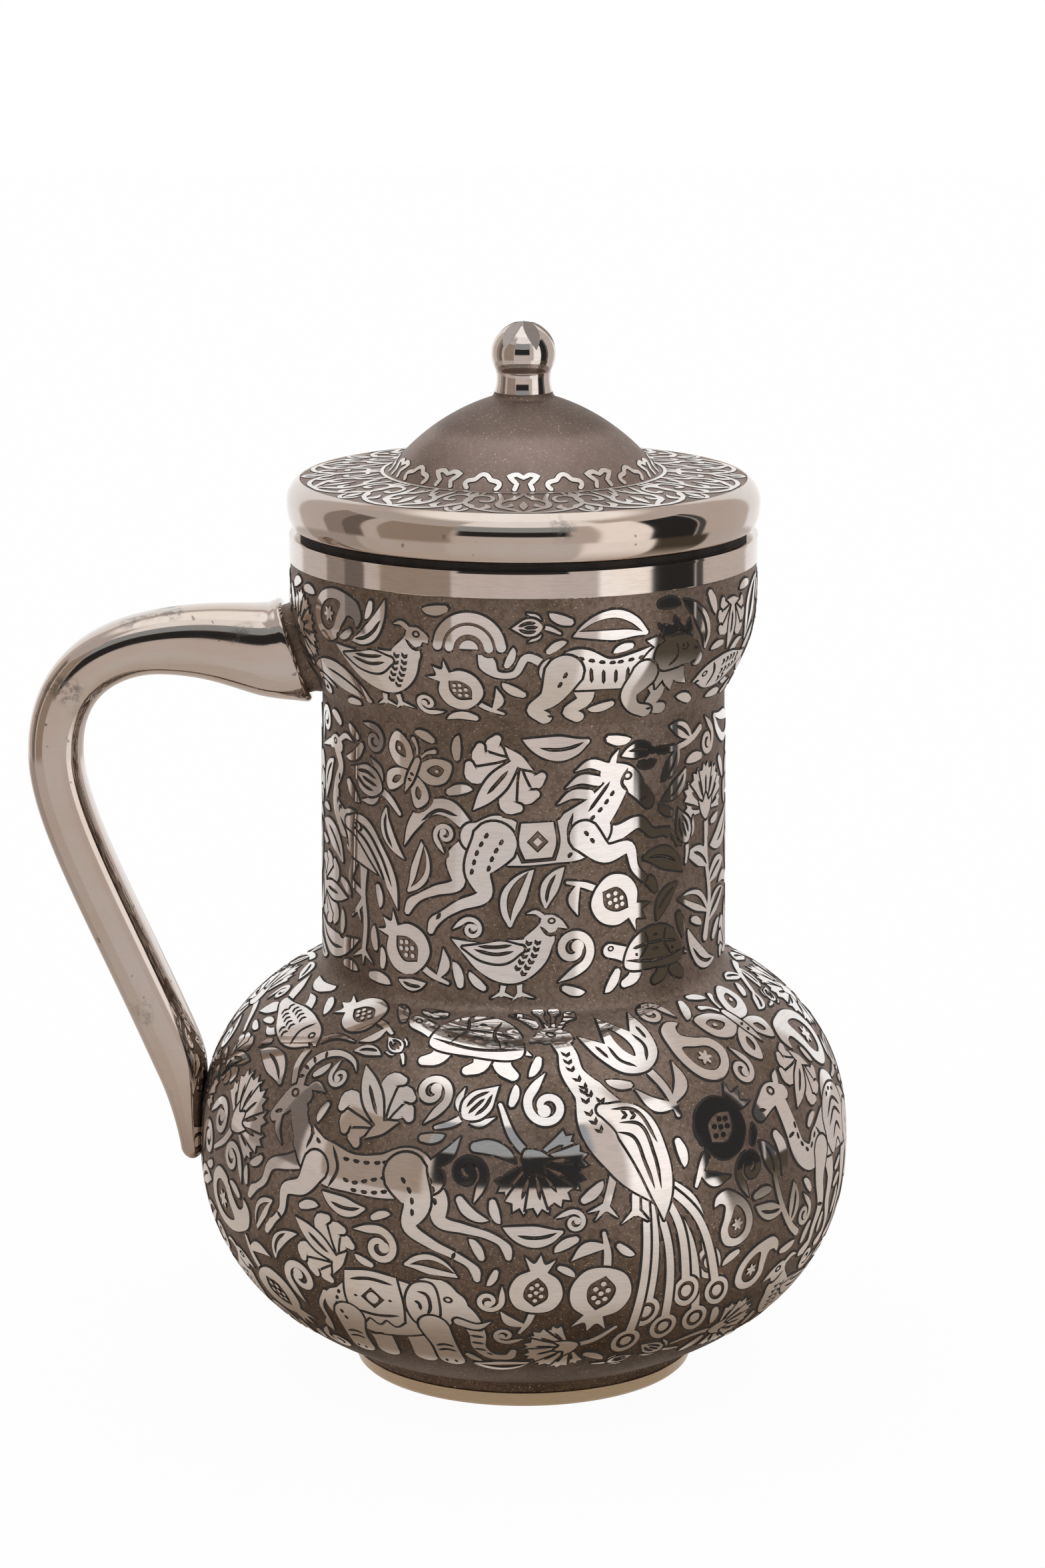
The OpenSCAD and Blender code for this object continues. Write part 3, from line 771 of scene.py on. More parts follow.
@dataclass
class Lid:
    """The lift-off lid: dome, flat shoulder, rolled edge and the flange that drops into the mouth."""

    vessel: Vessel
    bead_over: float = 0.5
    bead_top_r: float = 6.2
    bead_bottom_h: float = 5.8
    bead_bottom_w: float = 2.0
    rim_gap: float = 1.6
    seat_w: float = 1.8
    shoulder_rise: float = 1.6
    dome_foot_r: float = 31.6
    dome_arc_r: float = 49.6
    dome_arc_off: float = 8.0
    lid_wall: float = 3.4
    flange_h: float = 9.0
    flange_t: float = 2.8
    flange_clear: float = 0.5
    waist_r: float = 6.25
    waist_h: float = 2.9
    waist_arc_r: float = 8.0
    knob_fillet: float = 1.6
    bead_end_angle: float = 60.0

    def __post_init__(self) -> None:
        """Works out the lid's heights from the rim that it rests on."""
        jug = self.vessel
        self.bead_r = jug.collar_r + self.bead_over
        self.under_z = jug.rim_z + self.rim_gap
        self.bead_mid_z = self.under_z + self.bead_bottom_h
        self.bead_c = self.bead_r - self.bead_top_r
        end = math.radians(self.bead_end_angle)
        self.shoulder = (
            self.bead_c + self.bead_top_r * math.cos(end) - jug.etch,
            self.bead_mid_z + self.bead_top_r * math.sin(end) - jug.etch / 2,
        )
        self.dome_foot_z = self.shoulder[1] + self.shoulder_rise
        drop = math.sqrt(self.dome_arc_r**2 - (self.dome_foot_r + self.dome_arc_off) ** 2)
        self.dome_c = (-self.dome_arc_off, self.dome_foot_z - drop)
        self.knob_foot_r = self.waist_r + self.waist_arc_r - math.sqrt(self.waist_arc_r**2 - self.waist_h**2)
        fillet_r = self.knob_foot_r + self.knob_fillet
        rise = math.sqrt((self.dome_arc_r + self.knob_fillet) ** 2 - (fillet_r + self.dome_arc_off) ** 2)
        self.knob_z = self.dome_c[1] + rise
        self.fillet = (fillet_r, self.knob_z)
        self.flange_r = jug.mouth_r - self.flange_clear

    def ground_outline(self) -> list[Point]:
        """Returns the etched top's outline from the knob out to the rolled edge."""
        centre = self.dome_c
        meet = math.degrees(math.atan2(self.fillet[1] - centre[1], self.fillet[0] - centre[0]))
        foot = math.degrees(math.atan2(self.dome_foot_z - centre[1], self.dome_foot_r - centre[0]))
        fillet = arc(self.fillet, self.knob_fillet, 180, 180 + meet, 10)
        dome = arc(centre, self.dome_arc_r, meet, foot, 60)
        shoulder = [
            (mix(self.dome_foot_r, self.shoulder[0], s), mix(self.dome_foot_z, self.shoulder[1], s))
            for s in steps(10)
        ]
        return [(self.knob_foot_r - 1.0, self.knob_z)] + fillet + dome[1:] + shoulder[1:]

    def body_outline(self) -> list[Point]:
        """Returns the outline of all that is etched: the top, the seat, the flange and the hollow."""
        jug, under = self.vessel, self.under_z
        inner_r, seat_r = self.flange_r - self.flange_t, jug.mouth_r + self.seat_w
        shoulder_z = self.shoulder[1] - self.lid_wall
        hollow_r = self.dome_arc_r - self.lid_wall
        foot = math.degrees(math.asin((shoulder_z - self.dome_c[1]) / hollow_r))
        top = 90 - math.degrees(math.asin(self.dome_arc_off / hollow_r))
        low, knob_z = jug.rim_z - self.flange_h, self.knob_z
        return (
            self.ground_outline()
            + [(self.shoulder[0] + 1.0, self.shoulder[1] - 1.5), (self.shoulder[0], under + 0.6),
               (seat_r, under), (seat_r, jug.rim_z), (self.flange_r, jug.rim_z), (self.flange_r, low + 0.4),
               (self.flange_r - 0.4, low), (inner_r + 0.4, low), (inner_r, low + 0.4),
               (inner_r, shoulder_z - self.flange_t), (inner_r - self.flange_t, shoulder_z)]
            + arc(self.dome_c, hollow_r, foot, top, 20)
            + [(0.0, knob_z - 3.0), (0.0, knob_z - 0.5), (self.knob_foot_r - 1.2, knob_z - 0.5)]
        )

    def build(self, looks: Finishes) -> list[Piece]:
        """Makes the etched lid, with painted shadow from the dark edge finish in the gap over the rim, and its
        polished rolled edge.
        """
        jug = self.vessel
        body = turned("lid_ground", self.body_outline(), looks.lid_ground)
        # Painted shadow: the faces in the gap between the lid and the rim take the near-black edge finish.
        body.data.materials.append(looks.edge)
        for face in body.data.polygons:
            centre = face.center / MM
            if jug.rim_z - 0.1 < centre.z < self.under_z + 0.1 and centre.xy.length > self.flange_r:
                face.material_index = 1
        wide, deep, middle_z = self.bead_bottom_w, self.bead_bottom_h, self.bead_mid_z
        angles = np.linspace(0, math.pi / 2, 18)
        under = [(self.bead_r - wide * (1 - math.cos(a)), middle_z - deep * math.sin(a)) for a in angles]
        seat_r = jug.mouth_r + self.seat_w - 0.02
        bead = (
            [(self.shoulder[0] + 0.05, self.shoulder[1] - 0.3)]
            + arc((self.bead_c, middle_z), self.bead_top_r, self.bead_end_angle, 0, 24)
            + under[1:] + [(seat_r, self.under_z), (seat_r, self.under_z + 2)]
        )
        return [
            present(body, "lid", "lid"),
            present(turned("lid_bead", bead, looks.drawn), "lid"),
        ]


@dataclass
class Knob:
    """The solid knob: a waist, a ball and a star of leaf cuts round its top."""

    lid: Lid
    ball_r: float = 7.5
    ball_rise: float = 5.9
    cuts: int = 6
    tip: float = 12.0
    cut_angle: float = 100.0
    turn: float = -6.0

    def outline(self) -> list[Point]:
        """Returns the uncut knob's outline."""
        lid = self.lid
        waist_z = lid.knob_z + lid.waist_h
        rise = math.sqrt(self.ball_r**2 - lid.waist_r**2)
        low = 180 + math.degrees(math.asin(lid.waist_h / lid.waist_arc_r))
        high = 180 - math.degrees(math.asin((self.ball_rise - rise) / lid.waist_arc_r))
        waist = arc((lid.waist_r + lid.waist_arc_r, waist_z), lid.waist_arc_r, low, high, 24)
        start = -math.degrees(math.asin(rise / self.ball_r))
        ball = arc((0.0, waist_z + self.ball_rise), self.ball_r, start, 90, 72)
        return [(0.0, lid.knob_z)] + waist + ball[:-1] + [(0.0, ball[-1][1])]

    def build(self, looks: Finishes) -> list[Piece]:
        """Turns half of one cut's sector, slices the cut's flank off it, and repeats it all round."""
        ball_z = self.lid.knob_z + self.lid.waist_h + self.ball_rise
        maker = bmesh.new()
        profile(maker, self.outline())
        spin(maker, math.pi / self.cuts, 16)
        bmesh.ops.remove_doubles(maker, verts=maker.verts[:], dist=1e-7)
        span = math.radians((90 - self.tip) / 2)
        lean = math.radians(self.tip) + span
        outward = Vector((math.cos(lean), 0.0, math.sin(lean)))
        flank = math.radians(self.cut_angle / 2)
        middle = Vector((0, 0, ball_z * MM)) + outward * self.ball_r * math.cos(span) * MM
        normal = outward * math.sin(flank) - Vector((0, 1, 0)) * math.cos(flank)
        sliced = bmesh.ops.bisect_plane(
            maker, geom=whole(maker), dist=1e-8, plane_co=middle, plane_no=normal, clear_outer=True
        )["geom_cut"]
        rim = sorted({v for v in sliced if isinstance(v, bmesh.types.BMVert)}, key=lambda v: v.co.z)
        for facet in bmesh.ops.contextual_create(maker, geom=rim)["faces"]:
            facet.material_index = 1
        bmesh.ops.mirror(maker, geom=whole(maker), matrix=Matrix.Identity(4), merge_dist=1e-7, axis="Y")
        turning = Matrix.Rotation(math.radians(self.turn), 3, "Z")
        bmesh.ops.rotate(maker, verts=maker.verts[:], cent=(0, 0, 0), matrix=turning)
        spin(maker, math.tau, self.cuts, copies=True)
        bmesh.ops.remove_doubles(maker, verts=maker.verts[:], dist=2e-7)
        bmesh.ops.recalc_face_normals(maker, faces=maker.faces[:])
        smooth_shade(maker, 16.0)
        knob = add_object("knob_cut", maker, looks.polish, looks.facet)
        return [present(knob, "lid", "knob")]


# --- Drawing kit for the ornament, in millimetres ------------------------------------------------


class Ink(Enum):
    """What a painted region of the ornament becomes."""

    GROUND = 0
    EDGE = 1
    SILVER = 2


CUT_W = 0.92
EDGE_W = 0.66
HALO_W = 1.25
ROOM_W = 0.48
FIT_W = 0.42
POINTED_R = 0.12


def circle(count: int) -> np.ndarray:
    """Returns the corners of a polygon in the unit circle."""
    turn = np.linspace(0, math.tau, count + 1)[:-1]
    return np.column_stack([np.cos(turn), np.sin(turn)])


def spline(knots: np.ndarray, closed: bool = False, gap: float = 0.85) -> np.ndarray:
    """Returns points along a smooth curve through the knots.

    Args:
        knots: One row a knot; columns past the second are interpolated alike. A knot that is
            repeated makes a corner.
        closed: Whether the curve runs back to its first knot.
        gap: Distance between the points.
    """
    if closed:
        knots = np.vstack([knots, knots[:1]])
    chord = np.linalg.norm(np.diff(knots[:, :2], axis=0), axis=1)
    slopes = np.diff(knots, axis=0) / np.maximum(chord, 1e-6)[:, None]
    first, last = (-1, 0) if closed else (0, -1)
    before, after = np.vstack([slopes[first], slopes]), np.vstack([slopes, slopes[last]])
    near, far = np.append(chord[first], chord), np.append(chord, chord[last])
    total = np.maximum(near + far, 1e-6)
    tangent = (before * far[:, None] + after * near[:, None]) / total[:, None]
    made = []
    for i, length in enumerate(chord):
        if length < 1e-6:
            continue
        t = np.linspace(0, 1, max(2, math.ceil(length / gap)) + 1)[:-1, None]
        start = slopes[i] if near[i] < 1e-6 else tangent[i]
        end = slopes[i] if far[i + 1] < 1e-6 else tangent[i + 1]
        made.append(
            knots[i] * (1 - 3 * t**2 + 2 * t**3) + knots[i + 1] * (3 * t**2 - 2 * t**3)
            + length * (start * (t - 2 * t**2 + t**3) + end * (t**3 - t**2))
        )
    return np.vstack(made if closed else made + [knots[-1:]])


def limb_outline(line: np.ndarray, grow: float) -> np.ndarray:
    """Returns the outline of a stroke whose width runs along it.

    Args:
        line: Rows of x, y and width, already dense.
        grow: How far the outline lies outside the stroke; its ends grow round.
    """
    way = unit(np.gradient(line[:, :2], axis=0))
    side = np.stack([-way[:, 1], way[:, 0]], axis=1)
    half = np.maximum(line[:, 2:3] / 2, 0) + grow
    left, right = line[:, :2] + side * half, line[:, :2] - side * half
    caps = []
    for end, out in ((-1, way[-1]), (0, -way[0])):
        radius = float(half[end, 0])
        if radius < POINTED_R:
            caps.append(line[end, :2][None])
            continue
        across = np.array([-out[1], out[0]])
        turn = np.radians(np.linspace(64, -64, 3 + 2 * min(4, int(radius / 0.8))))[:, None]
        caps.append(line[end, :2] + radius * (np.cos(turn) * out + np.sin(turn) * across))
    if grow < 0.1 and half[-1, 0] < POINTED_R:
        left = left[1:-1]
    return np.vstack([left, caps[0], right[::-1], caps[1]])


def grown(outline: np.ndarray, grow: float) -> np.ndarray:
    """Returns a closed outline moved outwards, or inwards where grow is negative."""
    ahead = unit(np.roll(outline, -1, axis=0) - outline)
    way = ahead + np.roll(ahead, 1, axis=0)
    x, y = outline.T
    turn = 1.0 if np.sum(x * np.roll(y, -1) - np.roll(x, -1) * y) > 0 else -1.0
    size = np.maximum(np.linalg.norm(way, axis=1), 0.4)[:, None]
    out = np.stack([way[:, 1], -way[:, 0]], axis=1) * turn / size
    return outline + out * grow * np.minimum(2 / size, 1.6)


@dataclass(frozen=True)
class Stroke:
    """One part of a motif.

    Attributes:
        kind: "limb", "fill" and "dot" are silver, "cut" and "hole" are taken out of it, and
            "part" starts a part that lies over what was drawn before.
        knots: The knots of its curve; a limb's third column is its width.
    """

    kind: str
    knots: np.ndarray = field(default_factory=lambda: np.zeros((0, 2)))


@dataclass(frozen=True)
class Paint:
    """A closed outline with its ink, and a groove's middle line where it has one."""

    ink: Ink
    outline: np.ndarray
    middle: np.ndarray | None = None


@dataclass
class Motif:
    """A drawing made of strokes, which keeps the width of its lines when it is scaled."""

    strokes: list[Stroke] = field(default_factory=list)

    @staticmethod
    def read(text: str) -> "Motif":
        """Returns the motif written in a text.

        Args:
            text: One stroke a line: its kind and its knots. "!" makes a knot a corner. "eye x,y,r"
                draws an eye, "row" dashes along its curve, and "scale" small arcs along it.
        """
        motif = Motif()
        for line in text.strip().splitlines():
            kind, *words = line.split()
            knots = []
            for word in words:
                knots += [[float(n) for n in word.rstrip("!").split(",")]] * (1 + word.endswith("!"))
            if knots:
                motif.add(kind, knots)
            else:
                motif.part()
        return motif

    def part(self) -> "Motif":
        """Starts a part that lies over what was drawn before."""
        self.strokes.append(Stroke("part"))
        return self

    def add(self, kind: str, knots: Sequence[Sequence[float]] | np.ndarray) -> "Motif":
        """Adds a stroke, or the strokes that an eye, a row or scales are made of."""
        knots = np.array(knots, float)
        if kind == "eye":
            *middle, r = knots[0]
            rim = circle(8) * [1.25, 1.0]
            self.strokes += [Stroke("hole", rim * r + middle), Stroke("dot", rim * r * 0.45 + middle)]
        elif kind in ("row", "scale"):
            line = spline(knots)
            way = unit(np.gradient(line[:, :2], axis=0))
            run, step = runs(line), 3.1 if kind == "row" else 2.5
            for s in np.arange(step / 2, run[-1], step):
                i = int(np.argmin(abs(run - s)))
                p, w = line[i, :2], way[i]
                side = np.array([-w[1], w[0]])
                ends = [p - w * 1.1, p + side * 0.12, p + w * 1.1]
                if kind == "scale":
                    ends = [p + side * 1.2 - w * 0.6, p + w * 0.75, p - side * 1.2 - w * 0.6]
                self.strokes.append(Stroke("cut", np.array(ends)))
        else:
            self.strokes.append(Stroke(kind, knots))
        return self

    def moved(
        self, x: float = 0.0, y: float = 0.0, turn: float = 0.0, size: float = 1.0, flip: bool = False
    ) -> "Motif":
        """Returns the motif scaled, mirrored left to right, turned in degrees and then moved."""
        c, s = math.cos(math.radians(turn)) * size, math.sin(math.radians(turn)) * size
        made = []
        for stroke in self.strokes:
            knots = stroke.knots.copy()
            px, py = -stroke.knots[:, 0] if flip else stroke.knots[:, 0], stroke.knots[:, 1]
            knots[:, 0], knots[:, 1] = c * px - s * py + x, s * px + c * py + y
            if stroke.kind == "limb":
                knots[:, 2] *= size
            made.append(Stroke(stroke.kind, knots))
        return Motif(made)

    def joined(self, *others: "Motif") -> "Motif":
        """Returns this motif with others drawn after it."""
        return Motif(self.strokes + [stroke for other in others for stroke in other.strokes])

    def silhouette(self, grow: float) -> list[np.ndarray]:
        """Returns the outlines of its silver, moved outwards."""
        made = []
        for stroke in self.strokes:
            if stroke.kind == "limb":
                made.append(limb_outline(spline(stroke.knots), grow))
            elif stroke.kind == "fill":
                made.append(grown(spline(stroke.knots, closed=True), grow))
        return made

    def middles(self) -> np.ndarray:
        """Returns the knots of its silver, which lie well inside it."""
        return np.vstack([stroke.knots[:, :2] for stroke in self.strokes if stroke.kind in ("limb", "fill")])

    def paint(self, halo: bool = True, edge: float = EDGE_W) -> list[Paint]:
        """Returns its outlines in the order in which they are painted.

        Args:
            halo: Whether bare ground is left round it, over what was painted before.
            edge: Width of the dark line round it.
        """
        made = [Paint(Ink.GROUND, outline) for outline in self.silhouette(HALO_W)] if halo else []
        part: list[Stroke] = []
        for stroke in self.strokes + [Stroke("part")]:
            if stroke.kind != "part":
                part.append(stroke)
                continue
            made += [Paint(Ink.EDGE, outline) for outline in Motif(part).silhouette(edge)]
            made += [Paint(Ink.SILVER, outline) for outline in Motif(part).silhouette(0.0)]
            made += [paint for cut in part for paint in self.carve(cut)]
            part = []
        return made

    @staticmethod
    def carve(stroke: Stroke) -> list[Paint]:
        """Returns the outlines of a cut, a hole or a dot of silver in a hole."""
        if stroke.kind == "cut":
            line = spline(stroke.knots[:, :2], gap=0.9)
            share = np.linspace(0, 1, len(line))
            width = CUT_W * np.minimum(1, 4 * np.minimum(share, 1 - share) + 0.22)
            return [Paint(Ink.EDGE, limb_outline(np.column_stack([line, width]), 0.0), line)]
        if stroke.kind == "hole":
            rim = spline(stroke.knots, closed=True)
            return [Paint(Ink.EDGE, rim), Paint(Ink.GROUND, grown(rim, -0.3))]
        if stroke.kind == "dot":
            return [Paint(Ink.SILVER, spline(stroke.knots, closed=True))]
        return []


class Sketch(Enum):
    """The drawings: beasts about their own middle, plants upwards from their foot."""

    # A leaping ibex that faces left.
    IBEX = """
limb 20,3,9 26,-3,6 26.4,-8.5,3.8 33,-11,2.5 40,-13.5,2 43,-15.6,2 44.2,-17.4,2.7 44.4,-20,1.7
limb -14,7,6 -22,5,4 -30,3,2.8 -33.5,-2,2 -37,-4,1.8 -39,-5,2.6 -41,-7.2,1.6
limb -23.5,25,2.2 -25,32,2.1 -21.5,39,1.8 -14,43,1.4 -7,42,0
part
limb 24,3,8 19,4.5,13.5 10,3.5,12 0,4,10.5 -8,6,12 -14,8.5,10.5 -17,11,7
limb -12,8,11 -17,14,7.8 -20,20,6.2 -21,23,5.6
limb -18.5,24,5 -22,23.5,6.2 -26,20.5,4.8 -29.8,17,3.3
limb -19,25.5,0 -15.5,27,2.6 -11.5,25.6,0
limb -21.5,25.5,2.6 -21,31,2.5 -16.5,36,2.2 -10,37.6,1.7 -4.5,35.2,1 -3,32.6,0
limb -27.5,17.5,2.4 -27.5,13,1.7 -25.5,9.6,0
limb 24.6,7,2.4 29,10,3 31.8,14.5,0
cut -6,11.2 -4.2,5 -7.6,-.5
cut -15.6,9.5 -13.6,14 -16.6,19.5
cut -29.6,18 -26.3,18.9
cut -23.5,28.8 -20.6,29.4
cut -22.3,32.4 -19.6,31.4
cut -19.6,35.6 -17.9,33.3
cut -15.4,37.8 -14.8,35.2
row 16,8.2 6,7.2 -3,8
row 12,3.6 6,2.4 0,1.6 -3.6,3
row 12,-.4 6,-1 1,-.6
row 22,7 24.6,1 25.4,-4
row -10,11 -14,15 -16.4,21
eye -22.6,24.2,1.35
part
limb -12,5,8.4 -17,-1,5 -24,-3,3.2 -26,-9,2.2 -30,-12.6,1.8 -32,-14,2.6 -34,-16.4,1.6
limb 17,4,12.5 20,-4,7.8 17.4,-10,4.2 23,-15,2.8 30,-19,2.1 33.4,-21.6,2 34.6,-23.4,2.8 34.6,-26,1.8
row 15.5,4 18.5,-1.5 18.5,-7
cut 28.6,-19.8 29.8,-17.6
cut -28,-9.6 -26.2,-11.8
"""
    # A galloping horse that faces right, with a saddle cloth.
    HORSE = """
limb 13,8,8 22,6,5 31,8.5,3.4 36,4.5,2.5 41,4.2,2.2 43.6,3.2,3 45.6,1,2
limb -19,3,12 -28,-2,6.4 -27.4,-9,4 -35,-12,2.8 -41,-15,2.2 -43.6,-17,3 -45,-19.8,2
limb -24,9,3.6 -31,14.5,5.4 -38,13,5 -43,7.5,3.4 -46,1,0
part
limb -22,6,9 -17,5.5,15 -8,4,13.2 2,4.5,12.8 10,6,14 15,8,11
limb 10,8,14 17,14,10.6 22,20,8 24,23,7
limb 20.6,25,7 26,23.2,7.4 31,18.5,5.2 34.4,14.8,4.2
limb 21,26,2 21.5,29,2 23.4,32.4,0
limb 19,27,3 14,28.6,2.6 9,26.5,0
limb 16.4,23,3 11,24,2.6 6,21.4,0
limb 13.6,19,3 8.4,19.4,2.6 3.4,16.4,0
cut 33.6,16.4 30.8,15.4
cut 26.6,26.2 24.4,21.6 26.8,18.6
cut 8.4,13.6 7,7 10.2,1
cut 20.4,22.6 15.6,16.6 13.2,13.6
cut -27.4,12.2 -33.5,13.6 -39.6,9.6
row 22,20 17.6,14.6 12.6,10
row 6.4,-1 10,3.6 12.4,9
row -12.6,9.6 -13.4,3 -12.4,-1
cut -29,10.4 -34.5,11.6 -40,6.6
hole -9,11.6! 3.4,12.2! 4.4,4 3,-1.2! -7.6,-2! -9.8,4
eye 26.4,23.8,1.45
part
fill -7.6,10.6! 2.2,11! 3,4 1.8,0! -6.4,-.6! -8.2,4
hole -2.6,8.4! .8,4.8! -2.6,1.4! -6,4.8!
dot -2.6,6.2! -1.2,4.8! -2.6,3.4! -4,4.8!
part
limb 12,6,9.4 19,0,5.8 27,1,3.8 29.4,-6,2.5 33,-9.6,2.3 35.4,-11,3.1 37,-13.6,2
limb -16,4,14 -21,-5,8 -19,-12,4.6 -27,-16,3 -33,-20,2.4 -35.6,-22.2,3.1 -36.6,-25,2
row -13,6 -16.4,0 -18.4,-6
row -17.6,8 -21.4,1 -23,-5
row 11.6,8 16.4,2
cut 34.4,-8.8 33,-11
cut -33,-18.8 -34.6,-21.2
"""
    # A walking camel that faces left, with a rug over its hump.
    CAMEL = """
limb -7,2,7 -3.6,-7,4.4 -5,-14,3.2 -3,-20,2.4 -3.2,-24.2,2.4 -4.4,-25.6,3.6 -6.8,-26.4,2.4
limb 14,2,9 10,-6,6 9,-13,3.8 6.4,-18.6,2.5 5.2,-24.2,2.4 4,-25.6,3.6 1.6,-26.4,2.4
part
limb 21,3,9 14,5.6,15 4,7,16 -6,6,14 -12,5,9.6
fill -8,9 -4.4,15 -1,19.6 3.4,21.6 7.6,19.6 11,15 15,9 4,6
limb -11,5,9.6 -17.6,2,7.4 -23,5,6.4 -25.6,13,5.6 -26.6,21,5.2
limb -23.6,22.4,4.4 -28,23,6.2 -33,21,5 -36.6,18.8,4
limb -25.4,24,1.6 -23.4,27,2 -21.6,28.6,0
limb 25,6,1.7 28,0,1.5 27,-6,1.7 27.4,-10,3.2 26.6,-14,0
cut -36.4,19.8 -33.4,19.4
cut -12.6,9.4 -9.6,4.6 -12.4,-.6
row -18,3.6 -22.4,8 -23.6,15
row -13,8.6 -17,4.6
row 17,10.6 20.6,6 21,1
cut -27.6,10 -24.4,10.8
eye -28.4,23.8,1.4
part
fill -6.4,10.8 -3,15.4 3.6,17.4 10,15.4 13.4,10.8 12.8,3! 8.4,-1.4 4,2 -.6,-1.4 -5.4,3!
cut -3.2,9.4 3.6,13.2 10.4,9.4
cut -2.6,6.6 3.6,10.2 10,6.6
cut -.4,2.6 3.8,6 8,2.6
row -1,14.6 3.2,16 7.6,14.6
part
limb -10.6,2,8.6 -12,-6,5 -10.6,-14,3.6 -13,-20,2.5 -13.4,-24.2,2.4 -14.6,-25.6,3.8 -17,-26.4,2.6
limb 17.6,3,12 20,-6,7 16.8,-13,4.2 19.4,-19,2.6 20,-24.2,2.5 18.8,-25.6,3.8 16.4,-26.4,2.6
cut 14.8,-12.6 18.4,-13.8
cut -12.8,-13 -8.8,-14
row 18,4 19.6,-3.6
"""
    # An elephant that faces right, with a cloth on its back.
    ELEPHANT = """
limb -9,-2,10 -7.6,-10,8 -8,-17.4,8
limb 7,-2,10 6.6,-10,8 6,-17.4,8
part
limb -20,5,15 -13,6,24 -3,7,26 7,8,23 13,9,18
limb 10,13,13 17,14,16 21,12,12
limb 19.6,12,11 26,6.6,7.6 28,-1,5.6 27,-8.6,4.6 30,-14.4,3.8 35.4,-14.4,3 38,-10.4,2
limb -26.8,9,2 -30.4,2,1.6 -29.6,-5,1.6 -30.4,-8.6,3.4 -29.6,-12.6,0
cut 25.6,1.4 30.4,.8
cut 25.2,-2 30,-2.6
cut 24.8,-5.6 29.2,-6.4
cut 25,-9.4 29,-10.4
cut 28.6,-11.6 30.4,-13.4
cut -16,-6 -11,-7.4 -6.4,-6
row -20,12.4 -22.6,5 -20.4,-2
eye 20.6,14,1.4
part
limb 22.6,4.6,3 28.6,2.6,2.4 34,5.4,0
part
fill 9.6,19.4 15.4,19.6 17,12.6 14.6,3.6 9,1.6 5.6,8.4 6.4,15
cut 10,16.4 13,15.6 14,10.4 12,5.8
cut 8.6,12.4 10,11.6 10.4,8.4
part
fill -16.6,20.4! -7,21.8 3,20.6! 4,9 3,1.6! -.6,-1 -3.6,1.6 -6.8,-1 -10,1.6 -13,-1 -16.4,1.6! -17.6,10
cut -15,17.4 -7,18.8 1.6,17.6
cut -15.4,4.4 -6.6,3.2 2,4.4
hole -7,15.4! -2.4,10.8! -7,6.2! -11.6,10.8!
dot -7,13.4 -4.6,11 -7,8.4 -9.4,11
cut -14.4,10.8 -12.8,10.8
cut -1.2,10.8 .4,10.8
part
limb -18.6,0,12 -19,-9,8.8 -18.6,-18,8.8
limb 13.6,1,10.6 15,-9,8.4 15,-18,8.8
cut -22.4,-9.6 -19,-8.4 -15.6,-9.4
cut -22.2,-12.6 -18.8,-11.4 -15.6,-12.4
cut 11.8,-9.4 15,-8.2 18.4,-9.2
cut 11.8,-12.4 15,-11.2 18.4,-12.2
row -22,3 -19.6,-3.6
cut -21.6,-20.4 -21,-18.2
cut -18.2,-20.8 -18.2,-18.4
cut 12.6,-20.6 13,-18.2
cut 16,-20.8 16,-18.4
"""
    # A peacock that faces left, without its train.
    PEACOCK = """
part
limb 1,7,3 -.6,0,2 -2,-7,1.9
limb -2,-6.4,1.7 -6.6,-8.4,0
limb -2,-6.6,1.7 -4.4,-10.4,0
limb -2,-6.6,1.7 1.6,-9.4,0
limb 6,6,2.8 5.6,-1,2 6,-8,1.9
limb 6,-7.6,1.7 2.6,-11,0
limb 6,-7.6,1.7 9.6,-10,0
part
limb -5,22,8.4 -2,15,14.6 3.6,7,14 9.4,-1,8 12,-6,0
limb -4.4,21,8.6 -8.6,28,5.8 -8.8,34,4.6 -10.4,38.4,4.6
limb -8.4,39,4.4 -11,39.4,5.4 -13.6,38.4,3.8
limb -13.4,38.8,2.8 -18.4,36.4,0
limb -9.6,41,1 -6.6,45.4,1 -4.8,47.4,2.6 -3.8,48.4,0
limb -10.6,41.4,1 -9.4,46.4,1 -8.6,49,2.6 -8.2,50.2,0
limb -11.6,41.4,1 -12.4,46,1 -12.8,48.6,2.6 -13,49.8,0
eye -11.6,39.6,1.1
scale -9.2,35 -8.8,29 -5.4,22
scale -6.6,23.6 -6,17 -3,11.4
scale -2.6,22 -2.8,16
part
limb -2.4,17.6,3 3.4,15.4,9 9.6,6,9 13,-4,5 14,-10,0
cut -.4,18 5.4,18 11.4,9.6
cut 1.4,14.6 6.4,14.4 10.4,6.6 12.6,-2
cut .6,12.2 4.4,11.4 8,4.4 10.8,-2
scale 1.2,16.6 6.4,16.4
"""
